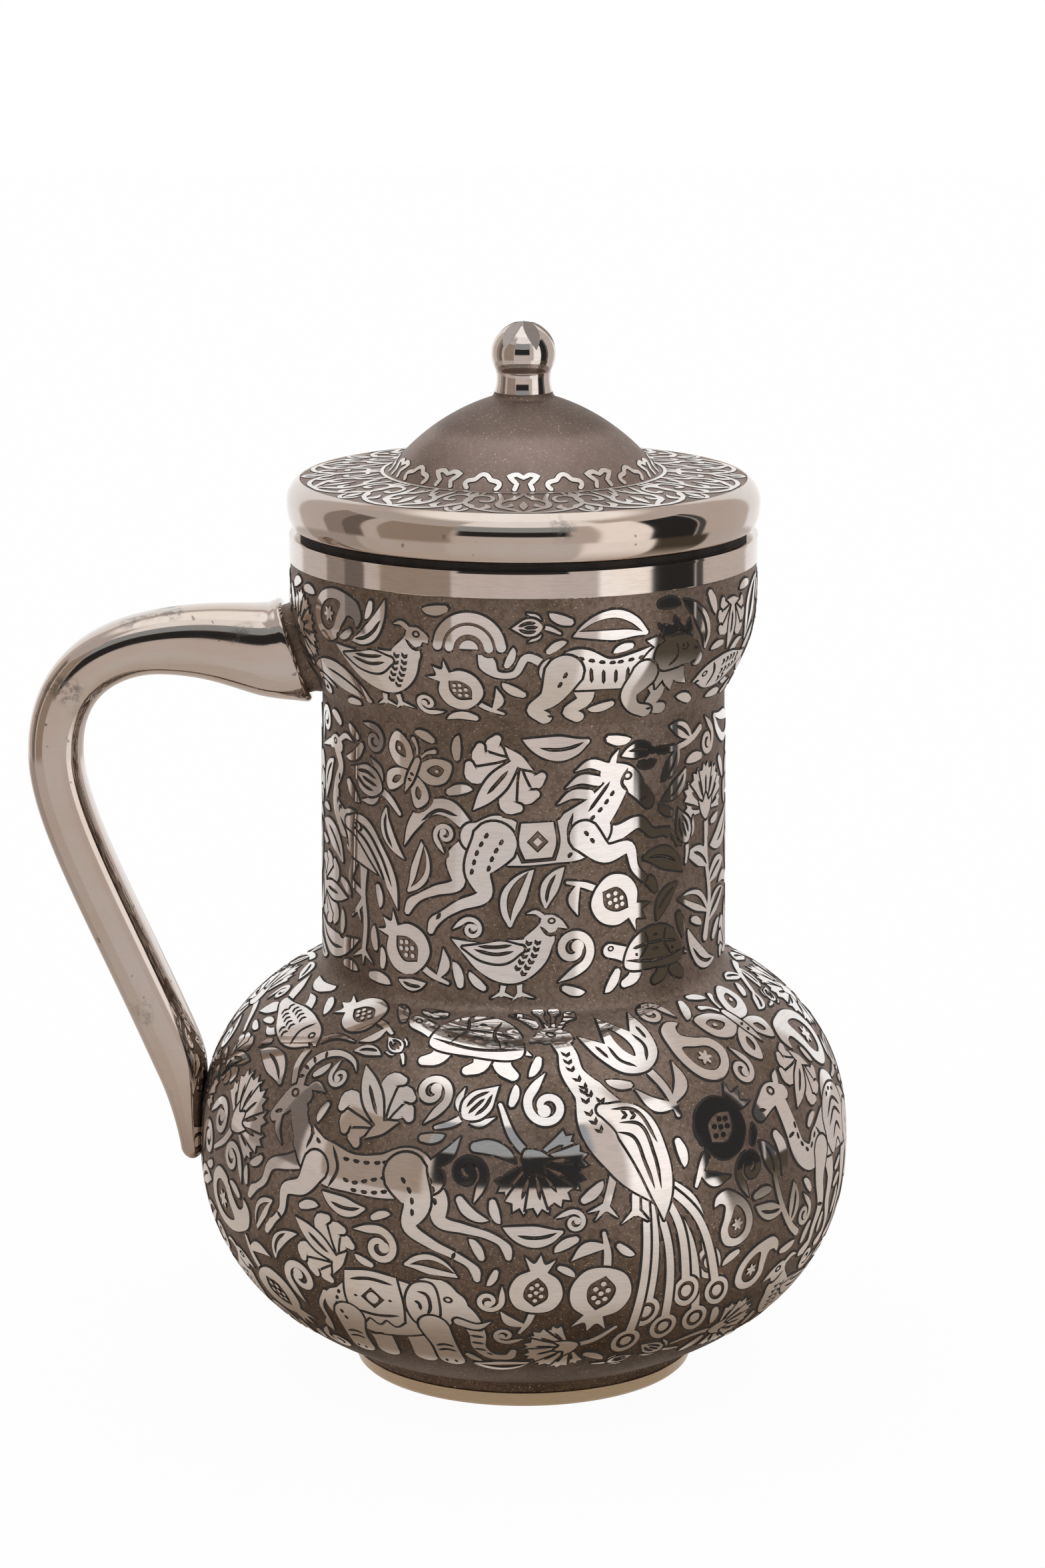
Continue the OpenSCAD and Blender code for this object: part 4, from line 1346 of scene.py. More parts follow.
    # A standing crane that faces left and looks back over a lifted foot.
    CRANE = """
limb 6,4,3.4 3.6,-3,1.9 9.6,-7,1.6 6.8,-11,1.5
limb 7,-10.6,1.4 4,-13.4,0
limb 7,-10.6,1.4 8.6,-14,0
limb 10,4,3.6 9.6,-5,1.9 10.6,-14,1.6 9.6,-23,1.6
limb 9.8,-22,1.6 4.6,-24.6,0
limb 9.8,-22,1.6 13.6,-25,0
limb 9.8,-22,1.5 9.4,-26,0
part
limb -3,9,0 1,11.6,9 7.4,9.4,12.4 14,5,8 21,-1,0
limb 0,12,7.4 -5.4,17,4.4 -4.6,23,3 -2,28,2.9 -4.6,32.6,3.2
limb -2.6,33.4,3.4 -5.6,34.2,4 -8.4,33.4,2.8
limb -8,33.8,2.2 -18,31,0
limb -3,35,1.4 1,37,1.4 5,36,0
eye -5.6,34.4,1
row -3.6,20.4 -2.6,25.6
cut -2.6,13.6 1.4,9.4 2.4,5.6
scale -1.6,14.6 -4,18.4
part
limb 2.4,13,3.4 8.4,12.6,7 15,6.6,6.4 20.6,-1,4 23,-8,0
cut 5,14.6 11,12.4 17,6 21,-2
cut 4.6,12.4 10,9.8 15.6,3.8 19.4,-3
scale 4.4,12.8 9,12.4
"""
    # A plump partridge that faces right and pecks at a seed.
    PARTRIDGE = """
limb -1,-4,2.6 -2,-9.6,1.7 -2.4,-11,1.7
limb -2.2,-10.4,1.6 3,-12.4,0
limb -2.2,-10.4,1.6 -6,-12.4,0
limb 3.6,-4,2.6 4,-9,1.7 4,-11,1.7
limb 4,-10.4,1.6 9,-12,0
limb 4,-10.4,1.6 1.4,-13,0
part
limb -20,8,0 -14,5,5.4 -7,2,12 1,1,15.6 8,4,12 12.4,9,7.4
limb 9,7,8.4 13,12,6.4 14.6,14.6,6
limb 14,15,5.6 17,14.6,3.6 20.6,12.4,0
limb 12.4,16.6,1.6 9.4,18.6,1.4 6.4,18,0
eye 15,15.4,1.2
cut 11,13.6 14.6,10.4 17.4,11.6
scale 10.6,9.6 9,3.4 5.4,-3
scale 7.6,9.4 6,4 2.6,-2.6
part
limb 4.6,5.6,2 -1,4.4,7.4 -8.4,4,6 -16,5.4,0
cut 2,4.6 -4,3.4 -12,4.8
cut 1.4,6.8 -4,6 -10.6,6
"""
    # A striding lion that faces right, low and long, without its mane, head and near legs.
    LION = """
limb -14,0,7 -12,-7,4.6 -16,-11,3.4 -13,-13,3.4
limb 8,0,7 11,-7,4.6 9,-11.6,3.4 13.4,-12.8,3.8
limb -23,4,2.4 -30,7,2.2 -33,2,2 -38,2,2 -41,5.4,4.6 -43.6,8.6,0
part
limb -22,3,8 -16,3,12.4 -6,1,9.4 3,1.6,11 10,3,12
row -16,6.6 -5,4.6 4,5.4
cut -15,3.6 -14,-.6
cut -11.4,3.6 -10.6,-1.4
cut -7.6,2.8 -7,-2
cut -3.8,2.6 -3.4,-2
cut 0,3 0,-2
cut 3.4,6 5.6,0 3.6,-4
part
"""
    # What lies over the mane.
    LION_HEAD = """
part
limb 13,5,9 18,6,9.6 22.4,4.4,6.8 24.6,2.6,4.6
limb 13.4,9,2 12.6,12,3 15.6,12.4,2
cut 24.6,2.2 21.6,1
cut 24.8,5.6 22.6,6.4
cut 13.6,1.6 16.4,4.4 16,8.4
eye 19.4,7,1.2
part
limb -19,2,11 -22,-6,6.4 -26,-10,3.8 -22.4,-13,3.8
limb 5.6,0,8.4 1.6,-7,5 3.6,-11,3.6 8,-13,4
cut -20,-12.4 -22,-12.2
cut 10,-12.4 8,-12.2
row -18,3 -20.4,-3
"""
    # A tortoise that faces left.
    TORTOISE = """
limb 7,-2,5 9,-6,4 12,-8,2.6
limb -7,-2,5 -9,-6,4 -12,-7.4,2.6
limb 11,0,3 15,-1.6,0
limb -9,1,5.4 -14,3,4.4 -17.4,4,4.4
eye -17,4.6,.95
part
limb 3,-2,5 2.6,-6.4,4 0,-8,2.6
part
fill -12,-1.6 -10,5 -3,9.6 4,9.4 10.4,4.6 12.6,-1.6 0,-3.6
cut -11.6,0 0,-1.4 12,0
cut -4.4,8.8 -3.4,4.6 -6.6,-.4
cut 4.4,8.8 3.6,4.6 6.8,-.4
cut -3.4,4.6 3.6,4.6
cut -3.4,4.6 -9,3.6
cut 3.6,4.6 9.4,3.4
cut -1.6,2.4 1.6,2.4
cut -8,2 -7,1
cut 7,2 8,1
cut -1.2,7 1.2,7
"""
    # A butterfly's right wing, its head up.
    WING = """
fill 1,3 5,10 12,11.4 12.6,5 7,1
fill 1,1 6,0 9.4,-4 6.4,-9 2.4,-5
hole 4.6,5 7.4,8.8 10.4,8.6 9.6,5.2
dot 7.4,6.6 8.4,7.4 9,6.8 8,6
hole 3.6,-1.8 6,-3 6.2,-6 4.4,-5.4
limb .4,7,.9 2.4,11,.9 4.6,12.6,1.6
"""
    # Its body.
    BUTTERFLY = """
part
limb 0,-6.4,0 0,-2,2.4 0,3,2.6 0,6.6,2
cut -1,1 1,1
cut -1,-1.2 1,-1.2
"""
    # A fish that faces left.
    FISH = """
limb 10,1,2 15,5,4 19,9,0
limb 10,-1,2 15,-4.4,4 19,-8.6,0
limb -1,4,4 3.4,7.6,2.4 7,8,0
limb 0,-4,3 4,-7,2 7,-7,0
part
limb -18,0,0 -14,.6,6.4 -7,0,11 1,0,10 8,0,5.4 12.4,0,3
cut -9.6,4.6 -7.6,0 -9.6,-4.6
scale -5,2.4 2,2.6 8,1.4
scale -4.4,-1 2,-1 9,-.4
scale -4,-3.8 1,-3.4
cut -17.4,-.6 -14.6,-.6
eye -13,1.4,1.15
"""
    # A striped bud with two sepals.
    BUD = """
limb 0,0,1.4 3.6,1.4,1.9 5.4,5,0
limb 0,0,1.4 -3.6,1.4,1.9 -5.4,5,0
part
fill 0,-.6 2.9,2 3.2,5.4 1.4,8.6 0,10.8! -1.4,8.6 -3.2,5.4 -2.9,2
cut 1.5,1.8 1.7,5 .5,8.4
cut -1.5,1.8 -1.7,5 -.5,8.4
cut 0,1 0,6.4
"""
    # A tulip of three petals on a short stem with two leaves.
    TULIP = """
limb 0,-12,1 .8,-6,1.6 0,1,1.8
limb .8,-9,1.2 4.6,-7,3 6.4,-1.6,0
limb .6,-10,1.2 -3.4,-7.6,2.8 -5.4,-2.6,0
part
fill 0,-.4 4.8,1.6 7.2,7 7.4,13.6! 3.6,9.2! 0,15.8! -3.6,9.2! -7.4,13.6! -7.2,7 -4.8,1.6
cut 3.5,8.6 3.7,4.6 1.4,1.4
cut -3.5,8.6 -3.7,4.6 -1.4,1.4
hole 0,12.4 1.3,8.4 .9,5 0,3.6 -.9,5 -1.3,8.4
cut 5.9,9.8 5.5,6
cut -5.9,9.8 -5.5,6
"""
    # A carnation's toothed petal.
    PETAL = """
fill 0,1 2.1,6.6 3.1,9.4! 1.6,9.4! 1.1,11! 0,9.9! -1.1,11! -1.6,9.4! -3.1,9.4! -2.1,6.6
cut 0,3.6 0,8.2
"""
    # Its calyx.
    CALYX = """
part
fill 0,-2.4 2,-.8 3.4,2.6! 1.5,1.8 0,3.8 -1.5,1.8 -3.4,2.6! -2,-.8
"""
    # A split pomegranate with a crown.
    POMEGRANATE = """
limb -2.6,-9,.8 -.8,-4.4,1.6 0,0,1.7
limb -1.6,-6,1 -5.6,-5,2.8 -8.6,-1.6,0
part
fill 0,-1 4.6,.2 7,5 5.2,10 2.2,11.8! 4,15.6! 1.4,14 0,16.6! -1.4,14 -4,15.6! -2.2,11.8! -5.2,10 -7,5 -4.6,.2
hole 0,.9! 3.2,4 2.6,7.6 0,10.2! -2.6,7.6 -3.2,4
"""
    # Half a unit of the lid's scrolls, as shares of its width and run.
    SCROLL = """
limb 0,.05,1 .3,.06,1.1 .66,.17,1.2 .96,.4,1.2 1.02,.62,1.2 .86,.8,1.1 .66,.78,1 .56,.64,1 .62,.53,1.2 .72,.54,1.6
limb 0,.05,1 .14,.16,1.3 .36,.3,1.7 .42,.46,1.4 .3,.62,1 .1,.76,.9 0,.95,.9
limb .42,.46,.9 .4,.62,1.2 .5,.9,.9
limb .66,.17,.9 .56,.28,1.7 .62,.4,.2
limb .96,.4,.9 .82,.3,1.7 .8,.2,.2
limb .36,.3,.8 .22,.34,1.6 .2,.46,.2
limb .86,.8,.8 .84,.95,.9
limb .3,.62,.8 .2,.66,1.4 .18,.84,.2
limb 1,.02,.9 .9,.07,.9 .84,.17,.9
limb 0,.18,.4 0,.34,1.9 0,.56,.3
limb 1,.66,.4 1,.8,1.9 1,.95,.4
limb 1,.08,.6 1,.2,1.8 1,.33,.3
"""
    # A forked post between two arches.
    POST = """
limb -2.1,.4,1 -1.5,1.9,1.1! -3.3,3.9,1.2! -1.3,4.4,1.2 0,3.6,1.1 1.3,4.4,1.2 3.3,3.9,1.2! 1.5,1.9,1.1! 2.1,.4,1
"""
    # A curled-over drop with an open middle.
    BOTEH = """
fill 0,0 4,1.6 5.6,5.6 4.2,10 .6,13.6 -3.4,15.4 -6.4,14 -6.8,11.8 -5.4,12.4 -3.6,11.6 -3.8,8.6 -5,4.6 -3.6,1.2
hole 0,2 2.6,3.2 3.4,6 2.4,9 0,11 -1.6,8 -2.8,5 -2,2.8
"""

    def drawn(self) -> Motif:
        """Returns the drawing as a motif."""
        return Motif.read(self.value)


class Bestiary:
    """The beasts that are put together from more than one drawing."""

    @staticmethod
    def peacock() -> Motif:
        """Returns a peacock that faces left, with its train of eyed feathers hanging down."""
        bird = Motif()
        eye = circle(10) * np.column_stack([1 + 0.25 * np.maximum(0, circle(10)[:, 0]), np.full(10, 0.86)])
        tips = ((29, -22), (34, -31), (30, -40), (24, -30), (21, -42), (14, -36), (12, -47))
        for i, (x, y) in enumerate(tips):
            bend = 9 - 1.2 * i
            knee = [7 + 0.45 * (x - 7) + bend * 0.5, 3 + 0.42 * (y - 3) + bend * 0.3]
            turn = math.atan2(y - knee[1], x - knee[0])
            spin_eye = np.array([[math.cos(turn), math.sin(turn)], [-math.sin(turn), math.cos(turn)]])
            bird.part().add("limb", [[7, 3, 1.6], [*knee, 1.9], [x, y, 2.4]])
            for kind, size in (("fill", 4.3), ("hole", 2.9), ("dot", 1.7)):
                bird.add(kind, eye @ spin_eye * size + [x, y])
        return bird.joined(Sketch.PEACOCK.drawn())

    @staticmethod
    def lion() -> Motif:
        """Returns a striding lion that faces right, low and long, with a tufted tail."""
        locks, middle = Motif(), np.array([15.6, 4.6])
        for angle in np.radians(range(46, 316, 30)):
            way = np.array([math.cos(angle), math.sin(angle)])
            swirl = np.array([-way[1], way[0]])
            knots = ((way * 3, 5.6), (way * 7 + swirl * 0.6, 4.4), (way * 11 + swirl * 3, 0))
            locks.add("limb", [[*(middle + place), wide] for place, wide in knots])
        return Sketch.LION.drawn().joined(locks, Sketch.LION_HEAD.drawn())

    @staticmethod
    def butterfly() -> Motif:
        """Returns a butterfly with open wings, its head up."""
        right = Sketch.WING.drawn()
        return right.joined(right.moved(flip=True), Sketch.BUTTERFLY.drawn())


class Garden:
    """The plants, each drawn upwards from its foot."""

    @staticmethod
    def leaf(length: float = 13.0, width: float = 4.6, bend: float = 2.5, vein: str = "cut") -> Motif:
        """Returns a leaf with a vein or an open middle.

        Args:
            length: From foot to tip.
            width: At its widest.
            bend: How far its tip leans to the right; its middle bulges to the left.
            vein: "cut" or "hole".
        """
        share = np.array([0, 0.2, 0.45, 0.7, 0.9, 1.0])
        wide = width * np.array([0.16, 0.66, 1.0, 0.82, 0.36, 0.0])
        spine = np.column_stack([bend * (share**2 * 1.9 - share * 0.9), length * share])
        motif = Motif().add("limb", np.column_stack([spine, wide]))
        if vein == "cut":
            return motif.add("cut", spine[:4] + [0, 1.0])
        half = np.array([0.0, 0.12, 0.22, 0.17, 0.0])[:, None] * [width, 0]
        inner = spine[:5] + [0, 0.9]
        return motif.add("hole", np.vstack([inner - half, (inner + half)[::-1]]))

    @staticmethod
    def comma(length: float = 11.0, width: float = 3.4, bend: float = 5.0) -> Motif:
        """Returns a plain curled leaf, round at its foot and pointed at its tip."""
        share = np.array([0, 0.3, 0.6, 0.85, 1.0])
        spine = np.column_stack([bend * share**2, length * (share - 0.16 * share**3)])
        wide = width * np.array([0.7, 1.0, 0.86, 0.5, 0.0])
        return Motif().add("limb", np.column_stack([spine, wide]))

    @staticmethod
    def tendril(size: float = 5.0, turns: float = 1.25, width: float = 1.7) -> Motif:
        """Returns a curl with a knob in its middle and a long foot."""
        angle = np.linspace(0, math.tau * turns, 14)
        radius = size * (1 - 0.72 * (angle / angle[-1]) ** 0.8)
        wide = width * (1 - 0.035 * angle)
        curl = np.column_stack([size - radius * np.cos(angle), radius * np.sin(angle), wide])
        foot = np.array([[1.6, -size * 1.7, 0.0], [0.5, -size * 0.8, width]])
        motif = Motif().add("limb", np.vstack([foot, curl]))
        return motif.add("fill", circle(8) * width * 0.75 + curl[-1, :2])

    @classmethod
    def sprig(cls, leaves: int = 5, length: float = 20.0, bend: float = 6.0) -> Motif:
        """Returns a bent stem with a leaf at its tip and others at both sides."""
        share, rise = np.linspace(0, 1, 6), length * 0.72
        spine = np.column_stack([bend * share**2, rise * share])
        motif = Motif().add("limb", np.column_stack([spine, np.linspace(1.5, 1.1, 6)]))
        for i in range(leaves):
            at_tip = i == leaves - 1
            s = 1.0 if at_tip else 0.28 + 0.62 * i / max(1, leaves - 1)
            lean = math.degrees(math.atan2(-2 * bend * s, rise))
            side = 0 if at_tip else (58 if i % 2 else -58)
            leaf = cls.leaf(length * 0.42, length * 0.17, 1.6 if i % 2 else -1.6)
            motif = motif.joined(leaf.moved(bend * s**2, rise * s, lean + side))
        return motif

    @staticmethod
    def bud(stem: float = 8.0, bend: float = 3.0) -> Motif:
        """Returns a striped bud on a stem, with two sepals."""
        knots = [[-bend, -stem, 0.8], [-bend * 0.3, -stem * 0.45, 1.5], [0, 0.4, 1.5]]
        return Motif().add("limb", knots).joined(Sketch.BUD.drawn())

    @staticmethod
    def carnation() -> Motif:
        """Returns a fan of seven toothed petals over a calyx."""
        petal = Sketch.PETAL.drawn()
        flower = Motif().add("limb", [[-1.6, -13, 0.8], [0.4, -6, 1.5], [0, 0, 1.6]])
        for turn in (78, -78, 52, -52, 26, -26, 0):
            flower = flower.part().joined(petal.moved(turn=turn, size=1.02 if abs(turn) < 60 else 0.86))
        return flower.joined(Sketch.CALYX.drawn())

    @staticmethod
    def pomegranate() -> Motif:
        """Returns a split pomegranate with its seeds showing and a crown."""
        fruit = Sketch.POMEGRANATE.drawn()
        for x, y in ((0, 3), (0, 5.5), (0, 7.9), (1.45, 4.5), (-1.45, 4.5), (1.3, 6.8), (-1.3, 6.8)):
            fruit.add("dot", circle(6) * 0.62 + [x, y])
        return fruit

    @staticmethod
    def rosette(petals: int = 8, size: float = 7.5) -> Motif:
        """Returns a round flower of outlined petals about a ringed middle."""
        wide = size * 2.7 / petals / size
        petal = Motif().add("limb", np.array([[0, 0.2, 0.4], [0, 0.52, wide], [0, 0.8, 1.06 * wide],
                                              [0, 0.98, 0.4 * wide]]) * size)
        petal.add("hole", np.array([[0, 0.42], [0.2 * wide, 0.62], [0, 0.86], [-0.2 * wide, 0.62]]) * size)
        flower = Motif().joined(*(petal.moved(turn=360 * i / petals) for i in range(petals))).part()
        for kind, share in (("fill", 0.3), ("hole", 0.19), ("dot", 0.09)):
            flower.add(kind, circle(12) * size * share)
        return flower

    @staticmethod
    def palmette(lobes: int = 3, size: float = 9.0) -> Motif:
        """Returns a fan of curling lobes on a small foot."""
        fan = Motif()
        for side in (-1, 1):
            for i in range(lobes, 0, -1):
                turn = math.radians(90 - side * (8 + 76 * i / lobes))
                way = np.array([math.cos(turn), math.sin(turn)])
                curl, reach = np.array([way[1], -way[0]]) * side, size * (1.0 - 0.16 * i)
                fan.part().add("limb", [[0, 0, 1.2], [*(way * reach * 0.55 - curl * 0.6), 2.6],
                                        [*(way * reach), 2.9], [*(way * reach + curl * 1.7), 1.6]])
        fan.part().add("limb", [[0, 0, 1.4], [0, size * 0.5, 3.8], [0, size * 0.9, 2.6], [0, size * 1.2, 0]])
        fan.add("cut", [[0, size * 0.2], [0, size * 0.8]])
        return fan.add("limb", [[-3.6, -1, 0], [0, -0.6, 2.2], [3.6, -1, 0]])

    @staticmethod
    def boteh(size: float = 14.0) -> Motif:
        """Returns a curled-over drop with an open middle and a flower in it."""
        swell = 1.35 + 0.45 * np.cos(6 * np.linspace(0, math.tau, 25)[:-1])
        return Sketch.BOTEH.drawn().add("dot", circle(24) * swell[:, None] + [0.4, 5.8]).moved(size=size / 15)

    @staticmethod
    def lunette(size: float = 10.0) -> Motif:
        """Returns a half disc inside two arches."""
        bend = np.radians(np.linspace(6, 174, 9))
        arch = np.column_stack([np.cos(bend), np.sin(bend)])
        motif = Motif()
        for radius, width in ((1.0, 2.2), (0.62, 2.0)):
            motif.add("limb", np.column_stack([arch * size * radius, np.full(9, width)]))
        return motif.add("fill", np.vstack([arch, arch[-1:], arch[:1]]) * size * 0.3)

    @classmethod
    def plant(cls, height: float = 44.0) -> Motif:
        """Returns a tall stem with leaves, buds and a carnation at its top."""
        knots = [[0, 0, 2.4], [2.2, height * 0.22, 1.8], [0.4, height * 0.45, 1.6], [0, height * 0.66, 1.5]]
        stem = Motif().add("limb", knots)
        for y, turn, length in ((0.08, -52, 13), (0.14, 56, 14), (0.3, -60, 12), (0.4, 50, 11)):
            leaf = cls.leaf(length, 4.8, 3 if turn < 0 else -3, "hole" if y < 0.2 else "cut")
            stem = stem.joined(leaf.moved(1.4, height * y, turn))
        bud = cls.bud(6, 3).moved(-8.6, height * 0.6, 22, 0.8)
        return stem.joined(cls.carnation().moved(0, height * 0.74), bud)


# --- Laying the ornament on the jug --------------------------------------------------------------


@dataclass
class Zone:
    """A band of the ground that carries one unit of ornament, repeated round the axis.

    A place in it is an azimuth in degrees, 0 towards the camera, and a run in millimetres up the
    outline. The unit is laid flat at the band's widest radius to be painted and triangulated.

    Attributes:
        name: The finished piece's name.
        outline: Radius and height of the ground, dense, in the order in which the run goes.
        repeats: How many times the unit goes round.
        turn: Azimuth of the unit's middle, in degrees.
        margin: Bare ground at both ends of the run, in millimetres.
        cell: Size of the mask's cells.
        edge: Width of the dark line round every figure.
    """

    name: str
    outline: np.ndarray
    repeats: int = 2
    turn: float = 0.0
    margin: Point = (0.5, 0.5)
    cell: float = 0.5
    edge: float = EDGE_W

    def __post_init__(self) -> None:
        """Measures the outline and clears the mask of taken places."""
        self.run = runs(self.outline)
        self.length = float(self.run[-1])
        self.reach = float(self.outline[:, 0].max())
        self.width = math.tau / self.repeats * self.reach
        self.taken = np.zeros((math.ceil(self.length / self.cell), round(self.width / self.cell)), bool)
        rows = (np.arange(len(self.taken)) + 0.5) * self.cell
        self.taken[(rows < self.margin[0]) | (rows > self.length - self.margin[1])] = True
        self.paints: list[Paint] = []

    def radius(self, run: np.ndarray) -> np.ndarray:
        """Returns the ground's radius along the run."""
        return np.interp(run, self.run, self.outline[:, 0])

    def laid(self, points: np.ndarray, azimuth: float, run: float) -> np.ndarray:
        """Returns a motif's points laid flat about a place, with their widths true on the jug."""
        y = np.clip(points[:, 1] + run, 0.02, self.length - 0.02)
        x = points[:, 0] * self.reach / self.radius(y) + math.radians(azimuth) * self.reach
        return np.column_stack([x, y])

    def narrowed(self, motif: Motif) -> Motif:
        """Returns a motif drawn across the flat unit at its true width on the jug."""
        for stroke in motif.strokes:
            stroke.knots[:, 0] *= self.radius(np.clip(stroke.knots[:, 1], 0, self.length)) / self.reach
        return motif

    def cells(self, flat: np.ndarray) -> tuple[np.ndarray, np.ndarray]:
        """Returns the mask's rows and columns of flat points, round the unit's ends."""
        row = np.clip((flat[:, 1] / self.cell).astype(int), 0, self.taken.shape[0] - 1)
        column = np.floor((flat[:, 0] + self.width / 2) / self.cell).astype(int) % self.taken.shape[1]
        return row, column

    def is_free(self, points: np.ndarray, azimuth: float, run: float) -> bool:
        """Returns whether all of a motif's points about a place are free of what is there."""
        if points[:, 1].min() + run < 0 or points[:, 1].max() + run > self.length:
            return False
        return not self.taken[self.cells(self.laid(points, azimuth, run))].any()

    def place(self, motif: Motif, azimuth: float, run: float) -> None:
        """Paints a motif about a place and takes the room."""
        rims = [self.laid(outline, azimuth, run) for outline in motif.silhouette(ROOM_W)]
        over = any(self.taken[self.cells(rim)].any() for rim in rims)
        for paint in motif.paint(over, self.edge):
            middle = None if paint.middle is None else self.laid(paint.middle, azimuth, run)
            self.paints.append(Paint(paint.ink, self.laid(paint.outline, azimuth, run), middle))
        for rim in rims:
            low, high = rim.min(axis=0) - self.cell, rim.max(axis=0) + self.cell
            x, y = np.meshgrid(*(np.arange(low[k], high[k], self.cell) for k in (0, 1)))
            spots = np.column_stack([x.ravel(), y.ravel()])
            self.taken[self.cells(spots[covered(spots, rim)])] = True

    def fill(self, makers: Sequence[Callable[[float], Motif]], tries: int, sizes: Point, seed: int) -> None:
        """Drops motifs where there is room, the same way each time.

        Args:
            makers: Each makes a motif of a size of about one, centred on its place.
            tries: How many places are tried.
            sizes: Largest and smallest size; they shrink as the tries go on.
            seed: Seed of the places, turns and choices.
        """
        draw = np.random.default_rng(seed)
        stock = []
        for maker in makers:
            sized = [maker(size) for size in np.linspace(*sizes, 7)]
            stock.append([(motif, np.vstack(motif.silhouette(FIT_W)), motif.middles()) for motif in sized])
        for i in range(tries):
            azimuth = math.degrees((draw.random() - 0.5) * self.width / self.reach)
            run = self.length * draw.random()
            pick, turn, flip = int(draw.integers(len(makers))), 360 * draw.random(), draw.random() < 0.5
            if self.taken[self.cells(self.laid(np.zeros((1, 2)), azimuth, run))].any():
                continue
            motif, rim, middles = stock[pick][int(7 * (i / tries) ** 0.7)]
            for way in (turn, turn + 60, turn - 60, turn + 120, turn - 120, turn + 180):
                if all(self.is_free(spun(points, way, flip), azimuth, run) for points in (middles, rim)):
                    self.place(motif.moved(turn=way, flip=flip), azimuth, run)
                    break


def spun(points: np.ndarray, turn: float, flip: bool) -> np.ndarray:
    """Returns points mirrored left to right and then turned in degrees, as a motif is."""
    c, s = math.cos(math.radians(turn)), math.sin(math.radians(turn))
    x = -points[:, 0] if flip else points[:, 0]
    return np.column_stack([c * x - s * points[:, 1], s * x + c * points[:, 1]])


def covered(spots: np.ndarray, outline: np.ndarray) -> np.ndarray:
    """Returns which spots lie within a closed outline, by its winding number."""
    turns = np.zeros(len(spots), int)
    x, y = spots.T
    for (ax, ay), (bx, by) in zip(outline, np.roll(outline, -1, axis=0)):
        side = (bx - ax) * (y - ay) - (x - ax) * (by - ay)
        turns += (ay <= y) & (by > y) & (side > 0)
        turns -= (ay > y) & (by <= y) & (side < 0)
    return turns != 0


